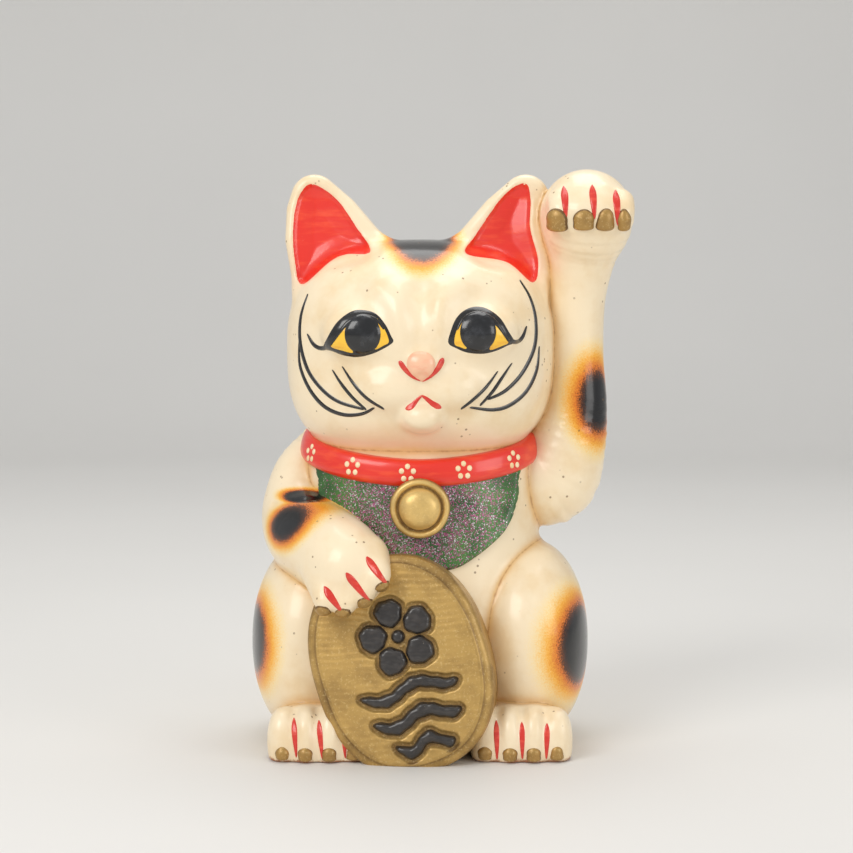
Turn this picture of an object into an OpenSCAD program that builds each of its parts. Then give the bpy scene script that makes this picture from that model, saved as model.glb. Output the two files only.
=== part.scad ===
// Beckoning cat coin bank: a hollow cast figurine, luted together from separate castings.
// +Z is up, the cat faces -Y, and its raised arm is on +X. The origin is the middle of the base,
// on the surface that the figurine stands on. All sizes are in millimetres.

/* [Torso] */
// Width of the torso at its widest
torso_w = 130; // [110:1:156]
// How far the belly reaches in front of the origin
torso_front = 55; // [46:1:66]
// How far the back reaches behind the origin
torso_back = 56; // [47:1:67]
// Height of the shoulders' top edge, inside the neck
torso_h = 165; // [138:1:198]
// Thickness of the cast walls
wall = 5; // [4:0.5:6]

/* [Head] */
// Width across the cheeks
head_w = 133; // [111:1:159]
// Height from chin to crown
head_h = 107; // [90:1:128]
// Depth from face to nape
head_d = 106; // [88:1:126]
// How deep the chin sits below the shoulders' top edge
head_sink = 16.5; // [14:0.5:20]
// Height of the ear tips above the crown
ear_h = 32; // [26:1:38]
// Distance of each ear tip from the middle
ear_x = 53; // [45:1:57]
// Length of the coin slot in the back of the head
slot_w = 38; // [32:1:45]
// Opening of the coin slot
slot_h = 5; // [4.6:0.1:6]

/* [Arms] */
// Height of the top of the raised paw
raised_h = 292; // [244:1:340]
// Radius of the raised paw
paw_r = 23; // [19:1:26]
// Radius of the raised wrist
wrist_r = 14; // [11.5:0.5:17]
// Radius of the lowered paw
low_paw_r = 22; // [18:1:25]

/* [Legs] */
// Height of the haunches
haunch_h = 103; // [88:1:118]
// Distance from the middle to the outside of each haunch
haunch_x = 86.5; // [77:0.5:99]
// Width of each foot
foot_w = 50; // [42:1:56]
// How far the toes reach in front of the origin
foot_front = 76; // [70:1:88]
// Height of each foot
foot_h = 27; // [23:1:33]

/* [Coin] */
// Width of the oval coin
coin_w = 87; // [74:1:98]
// Length of the oval coin
coin_l = 108; // [92:1:120]
// Thickness of the coin's bevelled rim
coin_t = 9; // [7:0.5:11]
// Lean of the coin to one side, in degrees
coin_tilt = 18; // [13:1:24]

/* [Collar, bib and bell] */
// Height of the collar band
collar_h = 14.5; // [12:0.5:17]
// How far the collar stands out from the neck
collar_t = 4; // [3:0.5:5]
// Width of the bib
bib_w = 100; // [84:1:108]
// How far the bib hangs below the collar's middle
bib_drop = 49; // [42:1:56]
// Thickness of the bib
bib_t = 1.6; // [1.2:0.1:2.4]
// Radius of the bell
bell_r = 15; // [12.5:0.5:18]

/* [Base] */
// Thickness of the base plate
plate_t = 7; // [6:0.5:9]
// Radius of the stopper's hole
hole_r = 15; // [12.5:0.5:18]
// Radial running clearance between the stopper and its hole
stopper_fit = 0.05; // [0.02:0.01:0.1]
// Length of the stopper's plug above its flange
plug_l = 13; // [10:1:17]

/* [Hidden] */

// Facets round the big castings, the limbs and the claws. The collar's are out of step with the
// torso's, so that their faces cross cleanly
big_fn = 36;
collar_fn = 44;
limb_fn = 18;
claw_fn = 10;

cream = [0.96, 0.89, 0.74];
gold = [0.72, 0.56, 0.28];
coin_gold = [0.78, 0.63, 0.35];
vermilion = [0.91, 0.16, 0.10];
bib_green = [0.20, 0.38, 0.18];
lacquer_black = [0.10, 0.09, 0.09];
grey_rubber = [0.32, 0.32, 0.33];

// Shares of the torso's half width and reach at shares of its height
torso_levels = [0, 0.06, 0.14, 0.25, 0.37, 0.49, 0.60, 0.70, 0.79, 0.87, 0.94, 1];
width_share = [[0, 0.90], [0.06, 0.96], [0.14, 1], [0.25, 1], [0.37, 0.99], [0.49, 0.97], [0.60, 0.95],
               [0.70, 0.935], [0.79, 0.92], [0.87, 0.90], [0.94, 0.85], [1, 0.74]];
reach_share = [[0, 0.88], [0.06, 0.94], [0.14, 0.99], [0.25, 1], [0.37, 0.98], [0.49, 0.95], [0.60, 0.91],
               [0.70, 0.885], [0.79, 0.86], [0.87, 0.83], [0.94, 0.78], [1, 0.68]];
function torso_x(z) = torso_w / 2 * lookup(z / torso_h, width_share);
function belly_y(z) = -torso_front * lookup(z / torso_h, reach_share);
function back_y(z) = torso_back * lookup(z / torso_h, reach_share);

// The plate's seat: the cavity is straight up to the plate's top and steps in above it
ledge = 2;
plate_gap = 0.3;
flange_r = hole_r + 3.5;
flange_t = 2;
flange_gap = 0.6;
cavity_floor = plate_t;
neck_r = 27;

head_bottom = torso_h - head_sink;
head_z = head_bottom + head_h / 2;
head_y = -6;
head_top = head_bottom + head_h;
// The head runs on below the chin, under the collar, and is fuller there than at the crown
jowl = 5;
jowl_e = 3;
crown_e = 2.4;
level_e = 2.25; // Exponent of the head's level sections
torso_e = 2.2; // The same for the torso's
coin_e = 2.35; // The same for the coin's outline

arm_x = head_w / 2 + wrist_r - 2; // The forearm lies against the cheek
elbow_z = head_bottom - 14;
shoulder_z = torso_h * 0.85;
elbow_r = 23;
raised_paw = [arm_x + 4.5, -12, raised_h - paw_r];

coin_c = [-10, -foot_front, coin_l * 0.455];
coin_yaw = -6;
coin_lean = 7;
coin_bevel = 5;
coin_deep = 40; // How far the coin's block runs back, into the belly

collar_z = head_bottom - 7; // Height of the collar's middle, at the front
collar_rise = 18; // How much higher the collar sits at the nape
bib_tuck = collar_h * 0.45; // How far the bib reaches up under the collar's middle
bell_z = collar_z - collar_h / 2 - 10.5;
lug_w = 7;

low_paw = [coin_c[0] - 26, -foot_front + 13, 96];

// The point at angle a of an oval: rx to each side, front and back reach, and its squareness e
function ring_point(c, rx, front, back, e, a) = let (cs = cos(a), sn = sin(a))
    [c[0] + rx * sign(cs) * pow(abs(cs), 2 / e),
     c[1] + (sn > 0 ? back : front) * sign(sn) * pow(abs(sn), 2 / e),
     c[2]];

function ring(c, rx, front, back, e = 2, n = big_fn) =
    [for (i = [0:n - 1]) ring_point(c, rx, front, back, e, 360 * i / n)];

// A closed solid through rings of equal count, the lowest ring first
module loft(rings) {
    n = len(rings[0]);
    levels = len(rings);
    sides = [for (k = [0:levels - 2], i = [0:n - 1], half = [0, 1])
        let (j = (i + 1) % n, a = k * n + i, b = k * n + j, c = (k + 1) * n + j, d = (k + 1) * n + i)
        half == 0 ? [a, c, b] : [a, d, c]];
    floor_face = [for (i = [0:n - 1]) i];
    top_face = [for (i = [n - 1:-1:0]) (levels - 1) * n + i];
    polyhedron([for (r = rings, p = r) p], concat([floor_face], sides, [top_face]), convexity = 6);
}

// A rounded mass of half sizes r, its middle at c, with a fuller lower half
module rounded_mass(c, r, n = big_fn, steps = 9) {
    loft([for (k = [0:2 * steps])
        let (a = 90 * (k - steps) / (steps + 0.4), s = sin(a) / sin(90 * steps / (steps + 0.4)),
             e = s < 0 ? jowl_e : crown_e, height = r[2] + (s < 0 ? jowl : 0),
             w = pow(1 - pow(abs(s) * 0.995, e), 1 / e))
        ring([c[0], c[1], c[2] + s * height], r[0] * w, r[1] * w, r[1] * w, e = level_e, n = n)]);
}

module ellipsoid(c, r, fn = limb_fn) {
    translate(c) scale(r) sphere(r = 1, $fn = fn);
}

// A tapered limb through joints [x, y, z, radius], less an inset for its hollow
module limb(joints, inset = 0) {
    for (i = [0:len(joints) - 2])
        hull()
            for (j = [joints[i], joints[i + 1]])
                translate([j[0], j[1], j[2]]) sphere(r = j[3] - inset, $fn = limb_fn);
}

module above_ground() {
    intersection() {
        children();
        translate([-200, -200, 0]) cube([400, 400, 400]);
    }
}

// ---------------- forms: the outer shapes that the castings and their cuts share ----------------

module torso_form(grow = 0) {
    loft([for (t = torso_levels) let (z = t * torso_h)
        ring([0, 0, z], torso_x(z) + grow, -belly_y(z) + grow, back_y(z) + grow, e = torso_e)]);
}

module torso_cavity() {
    top = torso_h * 0.93;
    seat = ring([0, 0, 0], torso_x(0) - wall, -belly_y(0) - wall, back_y(0) - wall, e = torso_e);
    loft([for (z = [-1, plate_t]) [for (p = seat) [p[0], p[1], z]]]);
    loft([for (t = [0, 0.1, 0.25, 0.4, 0.55, 0.7, 0.85, 1])
        let (z = cavity_floor - 0.01 + t * (top - cavity_floor), in = t == 0 ? wall + ledge + 1 : wall + 0.8)
        ring([0, 0, z], torso_x(z) - in, -belly_y(z) - in, back_y(z) - in, e = torso_e)]);
}

module ear(side) {
    ear_r = 12;
    flat = 0.7; // An ear is thinner than it is round at its corners
    hull()
        for (c = [[ear_x, head_top + ear_h - ear_r], [head_w / 2 - ear_r + 1.5, head_z + 28], [28, head_top - 5.5]])
            translate([side * c[0], head_y + 6, c[1]]) scale([1, flat, 1]) sphere(r = ear_r, $fn = limb_fn);
}

// Cheek pads, chin and the bridge of the nose
module muzzle() {
    front = head_y - head_d / 2;
    ellipsoid([0, front + 9, head_z - 26], [24, 13, 15]);
    ellipsoid([0, front + 12, head_z - 41], [13, 12, 10]);
    hull() {
        translate([0, front + 4, head_z - 18]) sphere(r = 6.5, $fn = limb_fn);
        translate([0, front + 10, head_z + 12]) sphere(r = 8, $fn = limb_fn);
    }
}

module skull() {
    rounded_mass([0, head_y, head_z], [head_w / 2, head_d / 2, head_h / 2]);
}

module head_form() {
    skull();
    for (side = [-1, 1])
        ear(side);
    muzzle();
}

module head_cavity() {
    rounded_mass([0, head_y, head_z], [head_w / 2 - wall, head_d / 2 - wall, head_h / 2 - wall],
                 n = 32, steps = 7);
}

module neck_bore() {
    translate([0, 0, head_bottom - 25]) cylinder(r = neck_r, h = 45, $fn = big_fn);
}

raised_joints = [
    [torso_w / 2 - 24, 6, elbow_z + 6, elbow_r + 1],
    [torso_w / 2 - 10, 3, elbow_z + 2, elbow_r + 1],
    [arm_x - 11, 1, elbow_z, elbow_r],
    [arm_x - 5, 0, elbow_z + 14, elbow_r - 3.5],
    [arm_x - 1, -1, elbow_z + 32, wrist_r + 2],
    [arm_x, -2, head_z - 6, wrist_r],
    [arm_x + 1, -3, head_z + 22, wrist_r + 1.5],
    [arm_x + 3, -6, (head_z + 22 + raised_paw[2]) / 2, wrist_r + 5],
    [raised_paw[0], raised_paw[1], raised_paw[2], paw_r]
];

lowered_joints = [
    [-torso_w / 2 + 18, 10, shoulder_z + 3, 20],
    [-torso_w / 2 + 10, 6, shoulder_z - 6, 22],
    [-torso_w / 2 + 6, -2, shoulder_z - 19, 22.5],
    [-torso_w / 2 + 7, -10, shoulder_z - 31, 23],
    [-torso_w / 2 + 11, -22, shoulder_z - 37, 22.5],
    [-torso_w / 2 + 16, -35, (shoulder_z - 39 + low_paw[2] + 8) / 2, 22],
    [low_paw[0] - 9, low_paw[1] + 20, low_paw[2] + 7, 21.5],
    [low_paw[0] - 4, low_paw[1] + 9, low_paw[2] + 3, 21.5],
    [low_paw[0], low_paw[1], low_paw[2], low_paw_r]
];

module raised_arm_form(inset = 0) {
    limb(raised_joints, inset);
}

module lowered_arm_form(inset = 0) {
    limb(lowered_joints, inset);
}

module haunch_form(side, inset = 0) {
    rx = 31 - inset;
    ellipsoid([side * (haunch_x - 31), -9, haunch_h / 2], [rx, 50 - inset, haunch_h / 2 - inset], fn = 28);
}

module foot_form(side) {
    toe_r = foot_w / 8 + 2;
    x0 = side * (haunch_x - 31);
    above_ground() {
        for (k = [-1.5:1:1.5])
            hull() {
                translate([x0 + k * foot_w / 4.6, -foot_front + toe_r, foot_h / 2 - 4])
                    scale([1, 1, foot_h / 2 / toe_r]) sphere(r = toe_r, $fn = limb_fn);
                translate([x0 + k * foot_w / 5, -30, foot_h / 2]) sphere(r = foot_h / 2, $fn = limb_fn);
            }
    }
}

// The coin's frame: x across, y along, z out of its face
module in_coin_frame() {
    translate(coin_c) rotate([0, 0, coin_yaw]) rotate([90 - coin_lean, 0, 0]) rotate([0, 0, coin_tilt])
        children();
}

module coin_form(inset = 0) {
    outline = [[coin_bevel, 0], [coin_bevel * 0.35, coin_t * 0.17], [0, coin_t * 0.5], [0, coin_deep]];
    above_ground() in_coin_frame()
        loft([for (k = [3:-1:0])
            [for (p = ring([0, 0, 0], coin_w / 2 - outline[k][0] - inset, coin_l / 2 - outline[k][0] - inset,
                           coin_l / 2 - outline[k][0] - inset, e = coin_e))
                [p[0], p[1], -outline[k][1] - inset]]]);
}

// A band with a rounded face that lies on the torso, higher at the nape than in front
module collar_form() {
    depth = 3; // How far the band reaches into the torso before it is cut
    section = [[-depth, -0.5], [0.3, -0.5], [0.75, -0.36], [1, -0.12], [1, 0.12], [0.75, 0.36], [0.3, 0.5],
               [-depth, 0.5]];
    n = collar_fn;
    m = len(section);
    points = [for (i = [0:n - 1], s = section)
        let (a = 360 * i / n, z = collar_z + collar_rise * (1 + sin(a)) / 2 + s[1] * collar_h,
             out = s[0] > 0 ? s[0] * collar_t : s[0])
        ring_point([0, 0, z], torso_x(z) + out, -belly_y(z) + out, back_y(z) + out, torso_e, a)];
    faces = [for (i = [0:n - 1], k = [0:m - 1], half = [0, 1])
        let (i2 = (i + 1) % n, k2 = (k + 1) % m, a = i * m + k, b = i2 * m + k, c = i2 * m + k2, d = i * m + k2)
        half == 0 ? [a, c, b] : [a, d, c]];
    polyhedron(points, faces, convexity = 6);
}

// A half oval whose straight top is under the collar
module bib_outline() {
    steps = 24;
    polygon([for (k = [0:steps]) let (a = 180 + 180 * k / steps)
        [bib_w / 2 * cos(a), collar_z + bib_tuck + (bib_drop + bib_tuck) * sin(a)]]);
}

module bib_form() {
    intersection() {
        torso_form(grow = bib_t);
        rotate([90, 0, 0]) linear_extrude(height = 100) bib_outline();
    }
}

// The bell's flat back, which rests on the bib under its lower edge
bell_y = belly_y(bell_z - bell_r) - bib_t;

// Places one claw at p, pointing down and out by the given turns; s holds its half sizes
module claw(p, s, turn = [0, 0, 0]) {
    hull() translate(p) rotate(turn) scale(s) sphere(r = 1, $fn = claw_fn);
}

module raised_claws_form() {
    for (k = [-1.5:1:1.5])
        claw([raised_paw[0] + k * paw_r * 0.5, raised_paw[1] - paw_r * (0.93 - 0.11 * k * k),
              raised_paw[2] - paw_r * 0.24], [3.7, 3.4, 5.0]);
}

module lowered_claws_form() {
    along = [cos(30), 0, sin(30)];
    for (k = [-1.5:1:1.5])
        claw(low_paw + along * (k * low_paw_r * 0.52) + [4, -low_paw_r * 0.70, -low_paw_r * 0.66],
             [3.4, 3.0, 4.2], [0, -20, 0]);
}

// The toes' tips, so each claw sits at the foot of its own toe
module foot_claws_form(side) {
    for (k = [-1.5:1:1.5])
        claw([side * (haunch_x - 31) + k * foot_w / 4.6, -foot_front + 1, 4.3], [3.2, 2.6, 4.0]);
}

// ---------------- castings ----------------

module torso_shell() {
    color(cream) difference() {
        torso_form();
        torso_cavity();
        skull();
        neck_bore();
    }
}

module head_shell() {
    color(cream) difference() {
        head_form();
        head_cavity();
        neck_bore();
        coin_slot();
    }
}

module coin_slot() {
    translate([-slot_w / 2, head_y + head_d / 4, head_z + 14]) cube([slot_w, head_d, slot_h]);
}

module raised_arm() {
    color(cream) difference() {
        raised_arm_form();
        raised_arm_form(inset = wall);
        torso_form();
        head_form();
        raised_claws_form();
    }
}

module lowered_arm() {
    color(cream) difference() {
        lowered_arm_form();
        lowered_arm_form(inset = wall);
        torso_form();
        head_form();
        lowered_claws_form();
    }
}

module haunch(side) {
    color(cream) difference() {
        above_ground() haunch_form(side);
        haunch_form(side, inset = wall);
        torso_form();
        lowered_arm_form();
        coin_form();
        foot_form(side);
    }
}

module foot(side) {
    color(cream) difference() {
        foot_form(side);
        torso_form();
        coin_form();
        foot_claws_form(side);
    }
}

module tail() {
    color(cream) difference() {
        above_ground() limb([for (k = [0:8]) let (a = 20 * k)
            [18 + 15 * sin(a), back_y(20) + 1 + 3 * sin(a * 0.9), 11 + 3.4 * k, 9.5 - 0.25 * k]]);
        torso_form();
    }
}

module coin() {
    color(coin_gold) difference() {
        coin_form();
        translate([0, 0, wall]) coin_form(inset = wall + 2);
        torso_form();
        lowered_arm_form();
        lowered_claws_form();
    }
}

// Height of the raised ornament
emblem_t = 1.6;

// A five-petalled blossom over three waves: raised ornament, lacquered black
module coin_emblem() {
    petal_r = 7.1;
    bloom_r = 12.4;
    bloom_c = [3.5, 13.5];
    heart_r = 3.5;
    color(lacquer_black) in_coin_frame() linear_extrude(height = emblem_t) {
        translate(bloom_c) {
            circle(r = heart_r, $fn = 24);
            for (k = [0:4])
                rotate(72 * k + 96) translate([bloom_r, 0]) circle(r = petal_r, $fn = 32);
        }
        for (band = [[-12.5, 50, 6.6], [-26.5, 45, 7.2], [-40, 30, 6.8]]) // Place, length and width
            translate([1, band[0]]) wave(band[1] - band[2], band[2]);
    }
}

// A wave with round ends, one and a half crests long
module wave(length, width) {
    steps = 24;
    r = width / 2;
    crest = 2.6;
    middle = [for (k = [0:steps]) [(k / steps - 0.5) * length, crest * sin(540 * k / steps + 46)]];
    upper = [for (k = [0:steps]) middle[k] + [0, r]];
    lower = [for (k = [steps:-1:0]) middle[k] - [0, r]];
    right_end = [for (a = [75:-15:-75]) middle[steps] + r * [cos(a), sin(a)]];
    left_end = [for (a = [255:-15:105]) middle[0] + r * [cos(a), sin(a)]];
    polygon(concat(upper, right_end, lower, left_end));
}

module collar() {
    color(vermilion) difference() {
        collar_form();
        torso_form();
        head_form();
        raised_arm_form();
        lowered_arm_form();
    }
}

module bib() {
    color(bib_green) difference() {
        bib_form();
        torso_form();
        head_form();
        collar_form();
        raised_arm_form();
        lowered_arm_form();
        coin_form();
        lug_form();
    }
}

module lug_form() {
    translate([-lug_w / 2, bell_y, bell_z - lug_w / 2])
        cube([lug_w, belly_y(bell_z - lug_w / 2) - bell_y + 3, lug_w]);
}

// The clay lug that the bell is stuck on with, through the bib
module bell_lug() {
    color(gold) difference() {
        lug_form();
        torso_form();
    }
}

// A domed bell with a rolled rim, its axis along -Y
module bell() {
    rim_r = bell_r * 0.18;
    rim_y = rim_r * 1.3;
    dome_r = bell_r - 2 * rim_r;
    dome_h = bell_r * 0.48;
    profile = concat(
        [[0, 0], [bell_r - rim_r * 0.8, 0]],
        [for (a = [-45:15:150]) [bell_r - rim_r + rim_r * cos(a), rim_y + rim_r * sin(a)]],
        [for (a = [15:15:90]) [dome_r * cos(a), rim_y + rim_r * 0.6 + dome_h * sin(a)]]
    );
    color(gold) translate([0, bell_y, bell_z]) rotate([90, 0, 0])
        rotate_extrude($fn = 64) polygon(profile);
}

module raised_paw_claws() {
    color(gold) raised_claws_form();
}

module lowered_paw_claws() {
    color(gold) lowered_claws_form();
}

module foot_claws(side) {
    color(gold) difference() {
        foot_claws_form(side);
        coin_form();
    }
}

// The floor of the bank, set into the torso's foot, with the stopper's seat
module base_plate() {
    in = wall + plate_gap;
    seat = ring([0, 0, 0], torso_x(0) - in, -belly_y(0) - in, back_y(0) - in, e = torso_e);
    color(cream) difference() {
        linear_extrude(height = plate_t) polygon([for (p = seat) [p[0], p[1]]]);
        translate([0, 0, -1]) cylinder(r = hole_r, h = plate_t + 2, $fn = 96);
        translate([0, 0, -1]) cylinder(r = flange_r + flange_gap, h = 1 + flange_t + flange_gap, $fn = 96);
    }
}

// A rubber plug with a flange and a dished underside to pull it by
module base_stopper() {
    plug_r = hole_r - stopper_fit;
    dish_r = plug_r - 4;
    top = flange_t + flange_gap + plug_l;
    color(grey_rubber) rotate_extrude($fn = 96) polygon([
        [0, 4], [dish_r - 1, 4], [dish_r, 3], [dish_r, flange_gap], [flange_r, flange_gap],
        [flange_r, flange_gap + flange_t], [plug_r, flange_gap + flange_t], [plug_r, top - 2],
        [plug_r - 2, top], [0, top]
    ]);
}

torso_shell();
head_shell();
raised_arm();
lowered_arm();
haunch(-1);  // left_haunch
haunch(1);  // right_haunch
foot(-1);  // left_foot
foot(1);  // right_foot
tail();
coin();
coin_emblem();
collar();
bib();
bell();
bell_lug();
raised_paw_claws();
lowered_paw_claws();
foot_claws(-1);  // left_foot_claws
foot_claws(1);  // right_foot_claws
base_plate();
base_stopper();
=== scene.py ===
"""Looks of the beckoning cat money bank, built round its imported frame.

Lengths are in millimetres until a mesh is made. The cat faces -Y, +Z is up, and its raised arm is
on +X. The castings are described as signed distances, melted into one skin as wet clay is, and then
cut apart again along their joints, so each casting is a piece of its own.
"""
import logging
import math
from collections import Counter
from collections.abc import Iterable, Sequence
from dataclasses import dataclass, field
from enum import Enum

import bmesh
import bpy
import numpy as np
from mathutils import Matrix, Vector
from mathutils.geometry import delaunay_2d_cdt


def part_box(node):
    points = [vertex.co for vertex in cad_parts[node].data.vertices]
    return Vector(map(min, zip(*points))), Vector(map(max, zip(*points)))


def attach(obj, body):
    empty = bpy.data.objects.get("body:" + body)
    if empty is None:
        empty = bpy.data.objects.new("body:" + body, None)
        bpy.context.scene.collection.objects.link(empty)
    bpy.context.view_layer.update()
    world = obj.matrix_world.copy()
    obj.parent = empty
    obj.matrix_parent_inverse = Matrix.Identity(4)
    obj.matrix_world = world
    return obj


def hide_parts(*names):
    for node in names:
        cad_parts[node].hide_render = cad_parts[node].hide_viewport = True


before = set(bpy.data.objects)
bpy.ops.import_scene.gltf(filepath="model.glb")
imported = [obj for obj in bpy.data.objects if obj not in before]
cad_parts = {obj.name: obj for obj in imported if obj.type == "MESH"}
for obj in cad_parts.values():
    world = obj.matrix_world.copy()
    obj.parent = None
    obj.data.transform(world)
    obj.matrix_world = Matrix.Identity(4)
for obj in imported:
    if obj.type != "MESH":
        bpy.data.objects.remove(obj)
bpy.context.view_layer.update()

LOG = logging.getLogger("beckoning_cat")
MM = 0.001
FAR = 60.0
GRID_STEP = 1.5


class Way(Enum):
    """How a form changes the casting that it is given to."""

    JOIN = "join"
    CUT = "cut"
    SINK = "sink"


# ---- Curves, outlines and soft joins ----


def curve_at(points: Sequence, at: np.ndarray, closed: bool = False) -> np.ndarray:
    """Reads a Catmull-Rom curve.

    Args:
        points: The points that the curve passes through, with any number of columns.
        at: Places along the curve, counted in spans between the points.
        closed: Whether the curve returns to its first point.

    Returns:
        The curve's points, one a row.
    """
    given = np.asarray(points, float)
    total = len(given)
    spans = total if closed else total - 1
    index = np.clip(at.astype(int), 0, spans - 1)
    part = (at - index)[:, None]
    if closed:
        a, b, c, d = (given[(index + step) % total] for step in (-1, 0, 1, 2))
    else:
        a, b, c, d = (given[np.clip(index + step, 0, total - 1)] for step in (-1, 0, 1, 2))
    cubic = -a + 3 * b - 3 * c + d
    return 0.5 * (2 * b + (c - a) * part + (2 * a - 5 * b + 4 * c - d) * part**2 + cubic * part**3)


def spline(points: Sequence, count: int, closed: bool = False) -> np.ndarray:
    """Samples a Catmull-Rom curve at count places."""
    spans = len(points) if closed else len(points) - 1
    return curve_at(points, np.linspace(0, spans, count, endpoint=not closed), closed)


def run_of(line: np.ndarray) -> np.ndarray:
    """How far each point of a line lies along it."""
    return np.concatenate([[0], np.cumsum(np.linalg.norm(np.diff(line, axis=0), axis=1))])


def evenly(line: np.ndarray, step: float, closed: bool = False, axes: int = 3) -> np.ndarray:
    """Spaces a dense line's points evenly.

    Args:
        line: The dense line, whose first columns are the place.
        step: The wanted distance between points.
        closed: Whether the line returns to its first point.
        axes: How many columns the place has, at most.

    Returns:
        The new points, with all the line's columns.
    """
    whole = np.vstack([line, line[:1]]) if closed else line
    run = run_of(whole[:, :axes])
    count = max(3, int(round(run[-1] / step)) + (0 if closed else 1))
    at = np.linspace(0, run[-1], count, endpoint=not closed)
    return np.column_stack([np.interp(at, run, column) for column in whole.T])


def outline(points: Sequence, step: float = 0.9) -> np.ndarray:
    """A smooth closed outline through a few (x, z) points, evenly spaced."""
    return evenly(spline(points, 40 * len(points), closed=True), step, closed=True)


def edge_distance(p: np.ndarray, loop: np.ndarray) -> np.ndarray:
    """Signed distance in the plane to a closed loop.

    Args:
        p: Points in the plane, one a row.
        loop: The loop's points, in order.

    Returns:
        The distances, negative inside the loop.
    """
    best = np.full(len(p), np.inf)
    inside = np.zeros(len(p), bool)
    for a, b in zip(loop, np.roll(loop, -1, axis=0)):
        side = b - a
        rel = p - a
        along = np.clip(rel @ side / max(side @ side, 1e-12), 0, 1)
        away = rel - along[:, None] * side
        best = np.minimum(best, (away**2).sum(1))
        spans = (a[1] > p[:, 1]) != (b[1] > p[:, 1])
        rise = side[1] if abs(side[1]) > 1e-12 else 1e-12
        inside ^= spans & (rel[:, 0] < side[0] * rel[:, 1] / rise)
    return np.where(inside, -1, 1) * np.sqrt(best)


def soft_min(a: np.ndarray, b: np.ndarray, radius: float) -> np.ndarray:
    """The smaller of two distances, rounded where they meet.

    Args:
        a: Distances from one form.
        b: Distances from the other.
        radius: How wide the join is rounded.

    Returns:
        The joined distances.
    """
    if radius <= 0:
        return np.minimum(a, b)
    near = np.maximum(radius - np.abs(a - b), 0) / radius
    return np.minimum(a, b) - near * near * radius / 4


def soft_max(a: np.ndarray, b: np.ndarray, radius: float) -> np.ndarray:
    """The larger of two distances, rounded where they meet."""
    return -soft_min(-a, -b, radius)


def smoothstep(low: float, high: float, value: np.ndarray) -> np.ndarray:
    """Eases from 0 at low to 1 at high."""
    part = np.clip((value - low) / (high - low), 0, 1)
    return part * part * (3 - 2 * part)


# ---- Forms ----


class Form:
    """A solid given by its signed distance."""

    def distance(self, p: np.ndarray) -> np.ndarray:
        """Distances of points from the form's surface, negative inside."""
        raise NotImplementedError

    def bounds(self) -> tuple[np.ndarray, np.ndarray]:
        """The form's lowest and highest corners."""
        raise NotImplementedError


@dataclass(frozen=True)
class Lump(Form):
    """An ellipsoid with squareness: flat in its level sections, tall in its upright ones.

    The lower half may have its own height and squareness.
    """

    centre: tuple[float, float, float]
    radii: tuple[float, float, float]
    flat: float = 2.0
    tall: float = 2.0
    low_radius: float = 0.0
    low_tall: float = 0.0

    def distance(self, p: np.ndarray) -> np.ndarray:
        """Distances along rays from the centre.

        Args:
            p: Points, one a row.

        Returns:
            The distances, negative inside.
        """
        rel = p - np.array(self.centre)
        size = np.abs(rel)
        below = rel[:, 2] < 0
        height = np.where(below, self.low_radius or self.radii[2], self.radii[2])
        tall = np.where(below, self.low_tall or self.tall, self.tall)
        level = ((size[:, 0] / self.radii[0]) ** self.flat + (size[:, 1] / self.radii[1]) ** self.flat)
        level = level ** (1 / self.flat)
        q = (level**tall + (size[:, 2] / height) ** tall) ** (1 / tall)
        reach = np.linalg.norm(rel, axis=1)
        return np.where(q > 1e-6, reach * (1 - 1 / np.maximum(q, 1e-6)), -min(self.radii))

    def bounds(self) -> tuple[np.ndarray, np.ndarray]:
        """A box round the lump.

        Returns:
            Its lowest and highest corners.
        """
        c = np.array(self.centre)
        r = np.array([self.radii[0], self.radii[1], max(self.radii[2], self.low_radius)])
        return c - r, c + r


@dataclass(frozen=True)
class Limb(Form):
    """A round limb along a smooth curve through joints of (x, y, z, radius)."""

    joints: tuple[tuple[float, float, float, float], ...]
    pieces: int = 18

    def distance(self, p: np.ndarray) -> np.ndarray:
        """Distances from the curve's nearest point, found by short chords and one Newton step.

        Args:
            p: Points, one a row.

        Returns:
            The distances, negative inside.
        """
        spans = len(self.joints) - 1
        line = spline(self.joints, self.pieces + 1)
        best = np.full(len(p), np.inf)
        spot = np.zeros(len(p))
        for k, (a, b) in enumerate(zip(line[:-1], line[1:])):
            axis = b[:3] - a[:3]
            rel = p - a[:3]
            at = np.clip(rel @ axis / (axis @ axis), 0, 1)
            away = np.linalg.norm(rel - at[:, None] * axis, axis=1) - (a[3] + at * (b[3] - a[3]))
            nearer = away < best
            best = np.where(nearer, away, best)
            spot = np.where(nearer, k + at, spot)
        spot = spot * spans / self.pieces
        found = curve_at(self.joints, spot)
        ahead = (curve_at(self.joints, spot + 0.02) - found) / 0.02
        move = ((p - found[:, :3]) * ahead[:, :3]).sum(1) / np.maximum((ahead[:, :3] ** 2).sum(1), 1e-9)
        spot = np.clip(spot + np.clip(move, -0.2, 0.2), 0, spans)
        found = curve_at(self.joints, spot)
        return np.linalg.norm(p - found[:, :3], axis=1) - found[:, 3]

    def bounds(self) -> tuple[np.ndarray, np.ndarray]:
        """A box round the limb."""
        line = spline(self.joints, self.pieces + 1)
        return (line[:, :3] - line[:, 3:]).min(0), (line[:, :3] + line[:, 3:]).max(0)


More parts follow.
